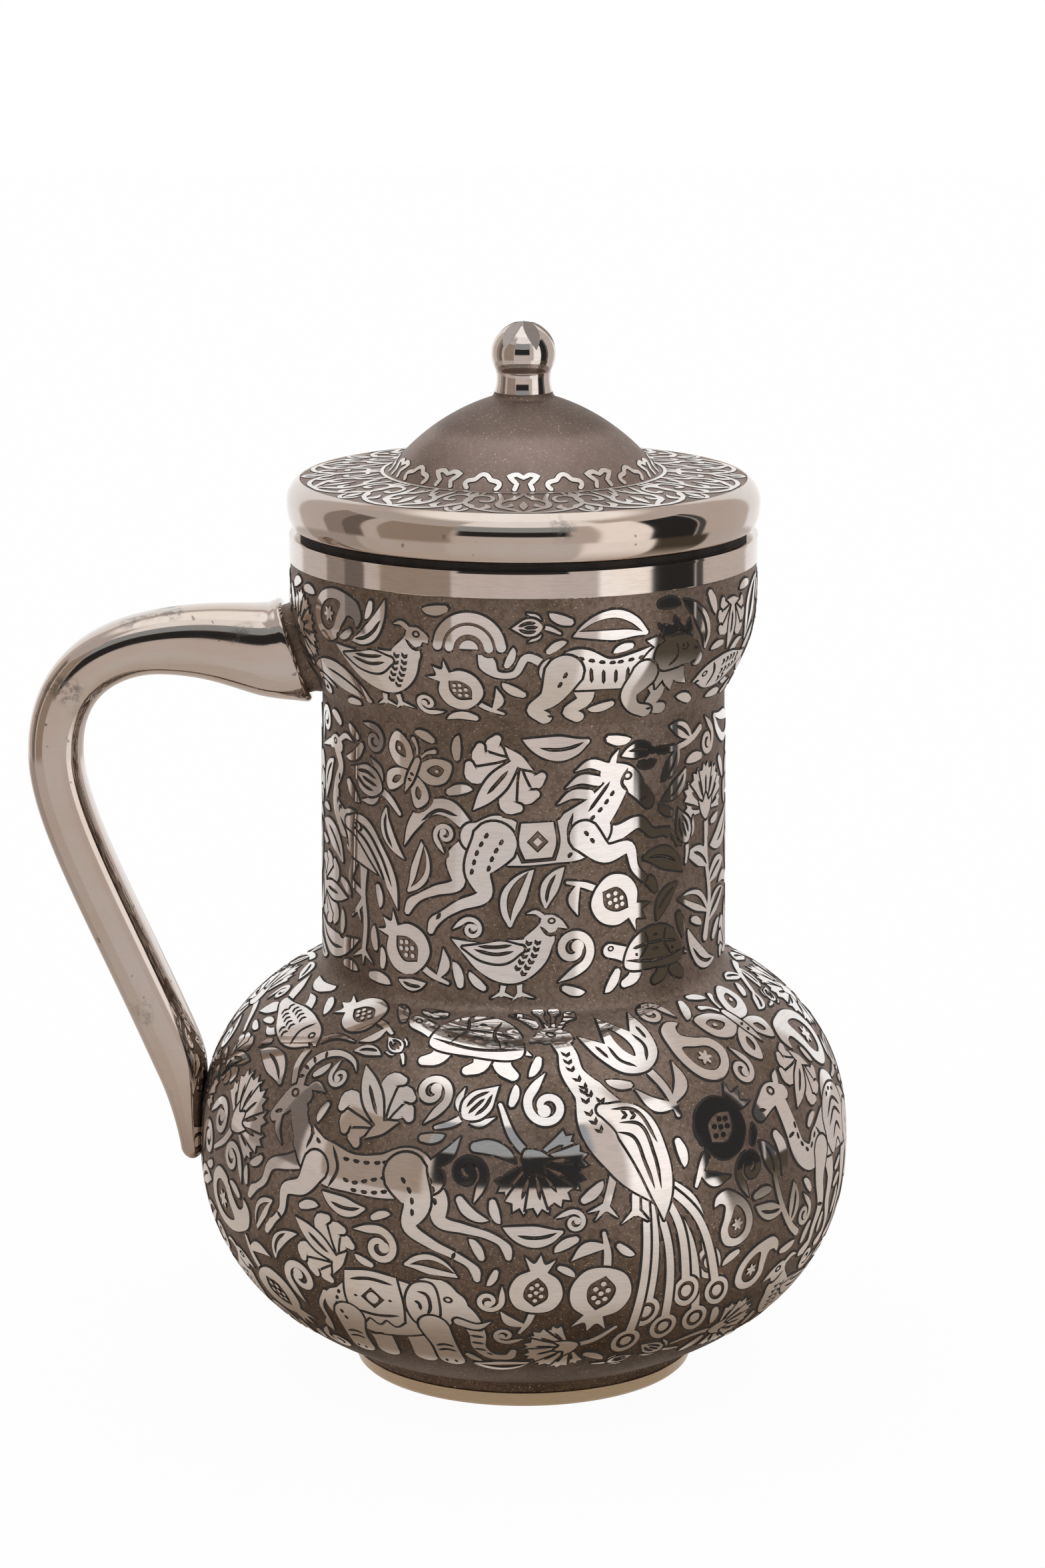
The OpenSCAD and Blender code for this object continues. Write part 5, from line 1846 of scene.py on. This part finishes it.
@dataclass
class Relief:
    """Turns a laid-out zone into raised polished figures with dark sloping edges.

    Attributes:
        zone: The zone with its paints.
        proud: How far the polished face stands out of the ground.
        sunk: How far an edge's foot lies below the ground.
        base: How far the closed back of a figure lies below the ground.
        spacing: Distance of the points that follow the curved wall, inside a figure.
    """

    zone: Zone
    proud: float = 0.28
    sunk: float = 0.04
    base: float = 0.14
    spacing: float = 2.4

    def shifted(self) -> list[Paint]:
        """Returns the zone's paints, and again beyond an end for those that reach past the other."""
        width, made = self.zone.width, []
        for paint in self.zone.paints:
            for move in np.array([[-width, 0.0], [0.0, 0.0], [width, 0.0]]):
                outline = paint.outline + move
                if outline[:, 0].max() > -width / 2 - 1 and outline[:, 0].min() < width / 2 + 1:
                    middle = None if paint.middle is None else paint.middle + move
                    made.append(Paint(paint.ink, outline, middle))
        return made

    def lines(self, paints: list[Paint]) -> tuple[np.ndarray, np.ndarray]:
        """Returns the flat points of all outlines, and the pairs of them that edges run between."""
        half, top = self.zone.width / 2, self.zone.length
        points = [np.array([[-half, 0.0], [-half, top], [half, 0.0], [half, top]])]
        edges = [np.array([[0, 1], [2, 3]])]
        count = 4
        for paint in paints:
            for line, closed in ((paint.outline, True), (paint.middle, False)):
                if line is None:
                    continue
                index = np.arange(count, count + len(line))
                ahead = np.roll(index, -1) if closed else index[1:]
                edges.append(np.column_stack([index[: len(ahead)], ahead]))
                points.append(line)
                count += len(line)
        return np.vstack(points), np.vstack(edges)

    def cut_up(
        self, points: np.ndarray, edges: np.ndarray, grid: np.ndarray, paints: list[Paint]
    ) -> tuple[np.ndarray, np.ndarray, np.ndarray, list[list[int]]]:
        """Cuts the flat unit into triangles along edges, and leaves out those of bare ground.

        Args:
            points: Flat points.
            edges: The pairs of them that edges run between.
            grid: Further points, at which the triangles follow the curved wall.
            paints: The outlines that give the triangles their inks.

        Returns:
            The flat points, the triangles, which triangles are silver, and for each point which of
            the given ones it is.
        """
        places = [Vector(p) for p in np.vstack([points, grid]).tolist()]
        flat, _, faces, given, *_ = delaunay_2d_cdt(places, edges.tolist(), [], 0, 1e-4)
        flat, faces = np.array([tuple(p) for p in flat]), np.array(faces)
        centres = flat[faces].mean(axis=1)
        inks = np.zeros(len(faces), int)
        for paint in paints:
            low, high = paint.outline.min(axis=0), paint.outline.max(axis=0)
            near = np.nonzero(((centres > low) & (centres < high)).all(axis=1))[0]
            inks[near[covered(centres[near], paint.outline)]] = paint.ink.value
        inks[abs(centres[:, 0]) >= self.zone.width / 2] = Ink.GROUND.value
        kept = inks != Ink.GROUND.value
        used, faces = np.unique(faces[kept], return_inverse=True)
        return flat[used], faces.reshape(-1, 3), inks[kept] == Ink.SILVER.value, [given[i] for i in used]

    def grid(self, spacing: float, seams: bool) -> np.ndarray:
        """Returns points spread over the flat unit, on its seams too where that is asked."""
        half, top = self.zone.width / 2, self.zone.length
        columns = np.linspace(-half, half, math.ceil(self.zone.width / spacing) + 1)
        rows = np.linspace(0, top, math.ceil(top / spacing) + 1)[1:-1]
        x, y = np.meshgrid(columns if seams else columns[1:-1], rows)
        return np.column_stack([x.ravel(), y.ravel()])

    def lifted(self, flat: np.ndarray, height: np.ndarray, turn: float) -> tuple[np.ndarray, np.ndarray]:
        """Returns flat points wrapped round the jug, at heights above its ground, and its normals."""
        zone, run = self.zone, flat[:, 1]
        slope = unit(np.gradient(zone.outline, axis=0))
        r, z = (np.interp(run, zone.run, zone.outline[:, k]) for k in (0, 1))
        out, up = np.interp(run, zone.run, slope[:, 1]), np.interp(run, zone.run, -slope[:, 0])
        azimuth = flat[:, 0] / zone.reach + math.radians(turn)
        radius, s, c = r + height * out, np.sin(azimuth), np.cos(azimuth)
        places = np.column_stack([radius * s, -radius * c, z + height * up])
        return places, np.column_stack([out * s, -out * c, up])

    def heights(self, flat: np.ndarray, silver: np.ndarray) -> np.ndarray:
        """Returns how high the front's points lie: those of silver triangles stand proud."""
        raised = np.zeros(len(flat), bool)
        raised[silver] = True
        half = self.zone.width / 2
        left, right = (np.nonzero(abs(flat[:, 0] - side) < 1e-3)[0] for side in (-half, half))
        for a, b in ((left, right), (right, left)):
            for i in a[raised[a]]:
                raised[b[abs(flat[b, 1] - flat[i, 1]) < 1e-3]] = True
        return np.where(raised, self.proud, -self.sunk)

    def build(self, polish: Material, edge: Material, together: int) -> list[Piece]:
        """Makes the zone's figures: a front, a coarser back, and walls between their rims.

        Args:
            polish: The finish of their faces.
            edge: The finish of their edges and cuts.
            together: How many repeats of the unit are made as one piece.
        """
        zone, paints = self.zone, self.shifted()
        flat, faces, silver, _ = self.cut_up(*self.lines(paints), self.grid(self.spacing, True), paints)
        rim = self.rim_edges(faces)
        ends, pairs = np.unique(rim, return_inverse=True)
        behind, back, _, given = self.cut_up(
            flat[ends], pairs.reshape(-1, 2), self.grid(2 * self.spacing, False), paints
        )
        sheets = (flat, self.heights(flat, faces[silver])), (behind, np.full(len(behind), -self.base))
        count = len(flat)
        under = np.zeros(count, int)
        for place, origins in enumerate(given):
            for origin in origins:
                if origin < len(ends):
                    under[ends[origin]] = place + count
        a, b = rim.T
        walls = np.vstack([np.column_stack([b, a, under[a]]), np.column_stack([b, under[a], under[b]])])
        cover = np.vstack([faces, back[:, ::-1] + count, walls])
        silver = np.append(silver, np.zeros(len(cover) - len(faces), bool))
        made = []
        for first in range(0, zone.repeats, together):
            turns = [zone.turn + 360 * k / zone.repeats for k in range(first, first + together)]
            placed = [self.lifted(*sheet, turn) for turn in turns for sheet in sheets]
            places, facing = (np.vstack(rows) for rows in zip(*placed))
            corners = np.vstack([cover + (count + len(behind)) * k for k in range(together)])
            name = zone.name if together == zone.repeats else f"{zone.name}_{first // together + 1}"
            mesh = self.mesh(name, places, corners, np.tile(silver, together), facing)
            made.append(linked(name, mesh, polish, edge))
        return made

    @staticmethod
    def rim_edges(faces: np.ndarray) -> np.ndarray:
        """Returns the edges that only one triangle has, in that triangle's direction."""
        edges = np.vstack([faces[:, [0, 1]], faces[:, [1, 2]], faces[:, [2, 0]]])
        low, high = np.sort(edges, axis=1).T
        _, first, count = np.unique(low * (faces.max() + 1) + high, return_index=True, return_counts=True)
        return edges[first[count == 1]]

    @staticmethod
    def mesh(
        name: str, places: np.ndarray, corners: np.ndarray, silver: np.ndarray, facing: np.ndarray
    ) -> bpy.types.Mesh:
        """Makes one piece's mesh, with its polished faces shaded as the smooth wall is."""
        mesh = bpy.data.meshes.new(name)
        mesh.vertices.add(len(places))
        mesh.vertices.foreach_set("co", (places * MM).ravel())
        mesh.loops.add(corners.size)
        mesh.loops.foreach_set("vertex_index", corners.ravel().astype(np.int32))
        mesh.polygons.add(len(corners))
        mesh.polygons.foreach_set("loop_start", np.arange(0, corners.size, 3, dtype=np.int32))
        mesh.polygons.foreach_set("material_index", np.where(silver, 0, 1).astype(np.int32))
        mesh.update(calc_edges=True)
        a, b, c = (places[corners[:, k]] for k in range(3))
        normals = np.repeat(unit(np.cross(b - a, c - a))[:, None, :], 3, axis=1)
        normals[silver] = facing[corners[silver]]
        mesh.polygons.foreach_set("use_smooth", np.ones(len(corners), bool))
        mesh.normals_split_custom_set(normals.reshape(-1, 3).tolist())
        return mesh


Maker = Callable[[float], Motif]


class Scheme:
    """Where the beasts and plants stand in each zone, and what fills the room between them."""

    @staticmethod
    def centred(motif: Motif) -> Motif:
        """Returns the motif moved so that its middle is at its place."""
        points = np.vstack([stroke.knots[:, :2] for stroke in motif.strokes])
        middle = (points.min(axis=0) + points.max(axis=0)) / 2
        return motif.moved(-middle[0], -middle[1])

    @classmethod
    def centring(cls, *makers: Maker) -> list[Maker]:
        """Returns makers whose motifs are centred."""
        return [lambda size, maker=maker: cls.centred(maker(size)) for maker in makers]

    @classmethod
    def filled(cls, zone: Zone, seed: int) -> None:
        """Fills the room that is left in a zone with large plants, leaves and buds, and scraps."""
        area = zone.length * zone.width
        zone.fill(cls.centring(
            lambda s: Sketch.TULIP.drawn().moved(size=0.86 * s),
            lambda s: Garden.carnation().moved(size=0.88 * s),
            lambda s: Garden.pomegranate().moved(size=0.82 * s),
            lambda s: Garden.rosette(7, 8.6).moved(size=s),
            lambda s: Garden.sprig(5, 25, 8).moved(size=s),
            lambda s: Garden.palmette(3, 10.5).moved(size=s),
            lambda s: Garden.boteh(16).moved(size=s),
            lambda s: Garden.sprig(3, 20, 7).moved(size=s),
        ), int(area * 0.2), (1.25, 0.85), seed)
        zone.fill(cls.centring(
            lambda s: Garden.leaf(16 * s, 6.2 * s, 4.4 * s),
            lambda s: Garden.leaf(17 * s, 6.8 * s, 5.0 * s, "hole"),
            lambda s: Garden.sprig(3, 17, 6).moved(size=s),
            lambda s: Garden.bud(7, 3).moved(size=0.86 * s),
            lambda s: Garden.leaf(19 * s, 5.4 * s, 8.0 * s),
            lambda s: Garden.tendril(4.2, 1.2, 1.8).moved(size=s),
        ), int(area * 0.45), (1.2, 0.6), seed + 1)
        zone.fill(cls.centring(
            lambda s: Garden.leaf(10 * s, 3.9 * s, 2.4 * s),
            lambda s: Garden.comma(10 * s, 3.0 * s, 5.0 * s),
            lambda s: Garden.comma(7 * s, 2.4 * s, 1.4 * s),
        ), int(area * 0.35), (1.05, 0.7), seed + 2)

    @classmethod
    def stood(cls, zone: Zone, seed: int, *rows: tuple) -> Zone:
        """Places motifs in a zone and fills the room between them.

        Args:
            zone: The zone.
            seed: Seed of what fills it.
            rows: A motif, its azimuth, run and size, and its turn and flip where it has them.
        """
        for motif, azimuth, run, size, *way in rows:
            turn, flip = way + [0.0, False][len(way):]
            zone.place(cls.centred(motif).moved(size=size, turn=turn, flip=flip), azimuth, run)
        cls.filled(zone, seed)
        return zone

    @classmethod
    def neck(cls, zone: Zone) -> Zone:
        """Lays out the neck: a horse, a crane, a partridge and tall plants."""
        return cls.stood(
            zone, 11,
            (Sketch.HORSE.drawn(), 6, 37, 0.74),
            (Sketch.CRANE.drawn(), -58, 31, 0.84),
            (Sketch.PARTRIDGE.drawn(), -4, 11, 0.66),
            (Garden.plant(42), 62, 30, 0.98),
            (Sketch.TORTOISE.drawn(), 38, 9, 0.72),
            (Bestiary.butterfly(), -32, 52.5, 0.66, -24),
            (Sketch.TULIP.drawn(), -88, 22, 0.95, 8),
        )

    @classmethod
    def collar(cls, zone: Zone) -> Zone:
        """Lays out the collar: a lion, a partridge, fish and arches."""
        return cls.stood(
            zone, 23,
            (Bestiary.lion(), 18, 13.6, 0.8),
            (Sketch.PARTRIDGE.drawn(), -37, 13.6, 0.7),
            (Sketch.FISH.drawn(), 64, 10, 0.74, 8),
            (Garden.lunette(7.4), -13, 23.4, 1.0),
            (Garden.carnation(), -72, 18, 0.82, -70),
        )

    @classmethod
    def bulb(cls, zone: Zone) -> Zone:
        """Lays out the bulb: a peacock, an ibex, an elephant, a camel and small beasts."""
        return cls.stood(
            zone, 37,
            (Bestiary.peacock(), 22, 66, 0.9, -6),
            (Sketch.IBEX.drawn(), -30, 71, 0.82, 5),
            (Sketch.ELEPHANT.drawn(), -22, 30, 0.68),
            (Sketch.CAMEL.drawn(), 68, 62, 0.84),
            (Garden.plant(46), -82, 58, 1.0),
            (Sketch.TORTOISE.drawn(), -12, 102, 0.9, -6),
            (Sketch.PARTRIDGE.drawn(), 62, 27, 0.8, 0.0, True),
            (Bestiary.butterfly(), 56, 99, 0.84, 20),
            (Sketch.FISH.drawn(), -62, 98, 0.86, -14, True),
            (Sketch.PARTRIDGE.drawn(), -72, 27, 0.8),
        )

    @classmethod
    def shoulder(cls, zone: Zone) -> Zone:
        """Lays out the lid's shoulder: crossing scrolls, half-palmettes and pearls."""
        half = Sketch.SCROLL.drawn().add("limb", [[x, 0.965, 0.85] for x in np.linspace(-1.1, 1.1, 12)])
        sizes = np.array([[side * zone.width / 2, zone.length, 1] for side in (1, -1)])
        strokes = [Stroke("limb", stroke.knots * size) for size in sizes for stroke in half.strokes]
        zone.place(zone.narrowed(Motif(strokes)), 0, 0)
        return zone

    @classmethod
    def crown(cls, zone: Zone) -> Zone:
        """Lays out the dome's foot: lobed arches and forked posts, turn about."""
        angle = np.radians(np.linspace(-4, 184, 26))
        swell = 1 + 0.15 * np.cos(5 * (angle - math.pi / 2))
        x, y = 3.7 * np.cos(angle) * swell, 0.7 + 3.1 * np.sin(angle) * swell
        zone.place(Motif().add("limb", np.column_stack([x, y, np.full(26, 1.1)])), -9, 0)
        zone.place(Sketch.POST.drawn(), 9, 0)
        return zone


@dataclass
class Ornament:
    """All raised figures on the jug and its lid."""

    vessel: Vessel
    lid: Lid

    @staticmethod
    def dense(outline: Sequence[Point], low: float, high: float, gap: float = 0.4) -> np.ndarray:
        """Returns the part of an outline between two heights, with close points."""
        rows = np.array(outline)
        run = runs(rows)
        even = np.linspace(0, run[-1], math.ceil(run[-1] / gap))
        close = np.column_stack([np.interp(even, run, rows[:, k]) for k in (0, 1)])
        return close[(close[:, 1] >= low) & (close[:, 1] <= high)]

    def zones(self) -> list[tuple[Zone, str, float]]:
        """Returns the laid-out zones, each with its body and how far its faces stand proud."""
        jug, foot_z = self.vessel, self.lid.dome_foot_z
        bulb, neck, cover = jug.bulb_outline(), jug.neck_outline(), self.lid.ground_outline()[::-1]
        sides = (
            (Scheme.bulb, "bulb_figures", (bulb, jug.foot_join_z + 3.0, jug.neck_z), (12.0, 0.5)),
            (Scheme.neck, "neck_figures", (bulb + neck, jug.neck_z + 1.4, jug.flare_z - 0.4), (0.5, 0.5)),
            (Scheme.collar, "collar_figures", (neck, jug.flare_z + 0.8, jug.band_z - 0.4), (0.5, 0.5)),
        )
        made = [
            (lay_out(Zone(name, self.dense(*part), margin=margin)), "jug", 0.28)
            for lay_out, name, part, margin in sides
        ]
        flat, dome = self.dense(cover, 0, foot_z - 0.05), self.dense(cover, foot_z + 0.1, 999)[:18]
        scrolls = Zone("shoulder_scrolls", flat, 10, 0.0, (0, 0), edge=0.24)
        petals = Zone("dome_petals", dome, 10, -9.0, (0, 0), edge=0.3)
        return made + [(Scheme.shoulder(scrolls), "lid", 0.16), (Scheme.crown(petals), "lid", 0.16)]

    def build(self, looks: Finishes) -> list[Piece]:
        """Makes the figures of every zone, in halves on the jug and in whole rings on the lid."""
        made = []
        for zone, body, proud in self.zones():
            face, together = (looks.figures, 1) if body == "jug" else (looks.fine, zone.repeats)
            for piece in Relief(zone, proud).build(face, looks.edge, together):
                made.append(present(piece, body))
        return made


# --- Studio --------------------------------------------------------------------------------------


@dataclass(frozen=True)
class Patch:
    """One soft-edged panel of the studio, as the polished glass sees it.

    Attributes:
        azimuth: Lowest and highest azimuth in degrees, 0 towards the camera and 90 to the right.
        elevation: Lowest and highest elevation in degrees; the table's have none.
        level: Its brightness, where 1 is white.
        tint: Its colour.
        soft: Width of its soft edge in degrees.
    """

    azimuth: Point
    elevation: Point | None
    level: float
    tint: Colour = (1.0, 1.0, 1.0)
    soft: float = 3.0

    def over(
        self, nodes: NodeTree, colour: object, azimuth: Socket, elevation: Socket | None = None
    ) -> Socket:
        """Returns a colour with the panel laid over it, for a direction's angles in degrees."""
        mask: object = 1.0
        half = self.soft / 2
        for value, span in ((azimuth, self.azimuth), (elevation, self.elevation)):
            if span:
                rise = nodes.smooth(value, span[0] - half, span[0] + half)
                fall = nodes.smooth(value, span[1] + half, span[1] - half)
                mask = nodes.math("MULTIPLY", nodes.math("MULTIPLY", rise, fall), mask)
        return nodes.blend(mask, colour, tuple(c * self.level for c in self.tint))


@dataclass
class Studio:
    """A pale floor, a white surround with soft panels and dark gaps, and the camera."""

    pitch: float = 12.76
    distance: float = 1144.1
    target_z: float = 140.9
    focal_px: float = 7258.25
    axis_px: float = 785.5
    floor_r: float = 3.0
    table_r: float = 0.72
    patches: tuple[Patch, ...] = (
        Patch((-200, -138), (-60, 46), 1.05, soft=6),
        Patch((140, 200), (-60, 46), 1.05, soft=6),
        Patch((-112, -35), (34, 60), 0.62, (1.0, 0.93, 0.88), 6),
        Patch((-200, 200), (60, 100), 1.38, soft=14),
        Patch((-35, 45), (40, 66), 1.2, soft=6),
        Patch((-112, -98), (-60, 34), 0.36, (1.0, 0.84, 0.74), 2),
        Patch((-98, -84), (-60, 34), 0.20, (1.0, 0.84, 0.74), 2),
        Patch((-74, -35), (-60, 34), 0.40, (1.0, 0.82, 0.68), 2),
        Patch((-35, 14), (-60, -4), 0.72, (1.0, 0.90, 0.85), 2),
        Patch((14, 37), (-60, -4), 0.68, (1.0, 0.90, 0.86), 3),
        Patch((-35, 26), (20, 40), 0.42, (0.9, 0.97, 1.0), 3),
        Patch((-32, 22), (0, 20), 0.03, soft=2),
        Patch((37, 65), (-60, 46), 1.3, (1.0, 0.97, 0.95), 4),
        Patch((65, 92), (-60, 38), 0.03, soft=1.5),
        Patch((93, 98), (-60, 38), 0.09, soft=1),
    )
    table: tuple[Patch, ...] = (
        Patch((-131, -86), None, 0.48, (1.0, 0.88, 0.80), 4),
        Patch((-86, -37), None, 0.64, (1.0, 0.90, 0.84), 3),
        Patch((-37, 28), None, 0.72, (1.0, 0.94, 0.90), 3),
        Patch((28, 66), None, 1.20, (1.0, 0.97, 0.95), 4),
        Patch((66, 100), None, 0.09, (1.0, 0.80, 0.58), 3),
    )

    def camera(self) -> None:
        """Sets the camera at its place, on the jug's axis and looking down a little."""
        angle = math.radians(self.pitch)
        lens = bpy.data.cameras.new("camera")
        lens.sensor_width = 36.0
        lens.lens = self.focal_px / FRAME_PX[1] * lens.sensor_width
        lens.clip_start, lens.clip_end = 0.05, 20.0
        camera = bpy.data.objects.new("camera", lens)
        bpy.context.scene.collection.objects.link(camera)
        aside = (FRAME_PX[0] / 2 - self.axis_px) * self.distance / self.focal_px
        height = self.target_z + self.distance * math.sin(angle)
        camera.location = (aside * MM, -self.distance * math.cos(angle) * MM, height * MM)
        camera.rotation_euler = (math.pi / 2 - angle, 0.0, 0.0)
        bpy.context.scene.camera = camera

    def world(self) -> None:
        """Lights the jug with a white surround and shows its panels to polished surfaces."""
        world = bpy.data.worlds.new("studio")
        bpy.context.scene.world = world
        world.use_nodes = True
        nodes = NodeTree(world.node_tree)
        towards = nodes.add("TexCoord").outputs["Generated"]
        azimuth = nodes.azimuth(towards)
        elevation = nodes.math("DEGREES", nodes.math("ARCSINE", nodes.height(towards)))
        colour: object = (0.68, 0.61, 0.57)
        for patch in self.patches:
            colour = patch.over(nodes, colour, azimuth, elevation)
        path = nodes.add("LightPath").outputs
        plain = nodes.blend(path["Is Glossy Ray"], (0.95, 0.95, 0.95), colour)
        shown = nodes.math("MAXIMUM", path["Is Camera Ray"], path["Is Transmission Ray"])
        background = nodes.add("Background", Color=nodes.blend(shown, plain, (1.0, 1.0, 1.0)), Strength=1.0)
        nodes.add("OutputWorld", Surface=background.outputs[0])

    def floor(self) -> None:
        """Lays a white floor, which polished glass sees as a glowing table with a warmer tone and painted shadow
        round the jug.
        """
        material, nodes, place = new_material("studio_floor")
        path = nodes.add("LightPath").outputs
        matt = nodes.add("BsdfDiffuse", Color=(0.9, 0.88, 0.86, 1.0)).outputs[0]
        glow = nodes.add("Emission", Color=(1.0, 1.0, 1.0, 1.0), Strength=1.0).outputs[0]
        white = nodes.add("MixShader", i0=0.96, i1=matt, i2=glow).outputs[0]
        span = nodes.add("VectorMath", operation="LENGTH", i0=place).outputs["Value"]
        azimuth = nodes.azimuth(place)
        far: object = (0.66, 0.61, 0.58)
        for patch in self.table:
            far = patch.over(nodes, far, azimuth)
        # Painted shadow on the table that polished glass sees: a darker near tone round the jug, and a darker
        # ring just outside the foot.
        tone = nodes.blend(nodes.smooth(span, 0.06, 0.40), (0.64, 0.57, 0.51), far)
        shade = nodes.math("MULTIPLY", nodes.smooth(span, 0.104, 0.062), nodes.smooth(span, 0.048, 0.058))
        tone = nodes.blend(shade, tone, (0.42, 0.365, 0.31), "MULTIPLY")
        table = nodes.add("Emission", Color=tone, Strength=1.0).outputs[0]
        clear = nodes.add("BsdfTransparent").outputs[0]
        edge = nodes.smooth(span, self.table_r * 0.86, self.table_r * 1.1)
        table = nodes.add("MixShader", i0=edge, i1=table, i2=clear).outputs[0]
        shader = nodes.add("MixShader", i0=path["Is Glossy Ray"], i1=matt, i2=table).outputs[0]
        shader = nodes.add("MixShader", i0=path["Is Camera Ray"], i1=shader, i2=white).outputs[0]
        nodes.add("OutputMaterial", Surface=shader)
        maker = bmesh.new()
        bmesh.ops.create_circle(maker, cap_ends=True, segments=96, radius=self.floor_r)
        add_object("studio_floor", maker, material)

    def build(self) -> None:
        """Makes the camera, the surround and the floor."""
        self.camera()
        self.world()
        self.floor()
        bpy.context.scene.view_settings.view_transform = "Standard"


# --- Putting it together -------------------------------------------------------------------------


def main() -> None:
    """Builds every piece in order and reports it."""
    logging.basicConfig(level=logging.INFO, format="%(name)s: %(message)s")
    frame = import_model()
    LOG.info("frame has the nodes %s", ", ".join(sorted(frame["nodes"])))

    Studio().build()
    looks = Finishes.make()
    vessel = Vessel()
    lid = Lid(vessel)
    for part in (vessel, Foot(vessel), Handle(vessel), lid, Knob(lid), Ornament(vessel, lid)):
        for piece in part.build(looks):
            LOG.info("%s has %d faces", piece.name, len(piece.data.polygons))

    bpy.context.view_layer.update()


if __name__ == "__main__":
    main()
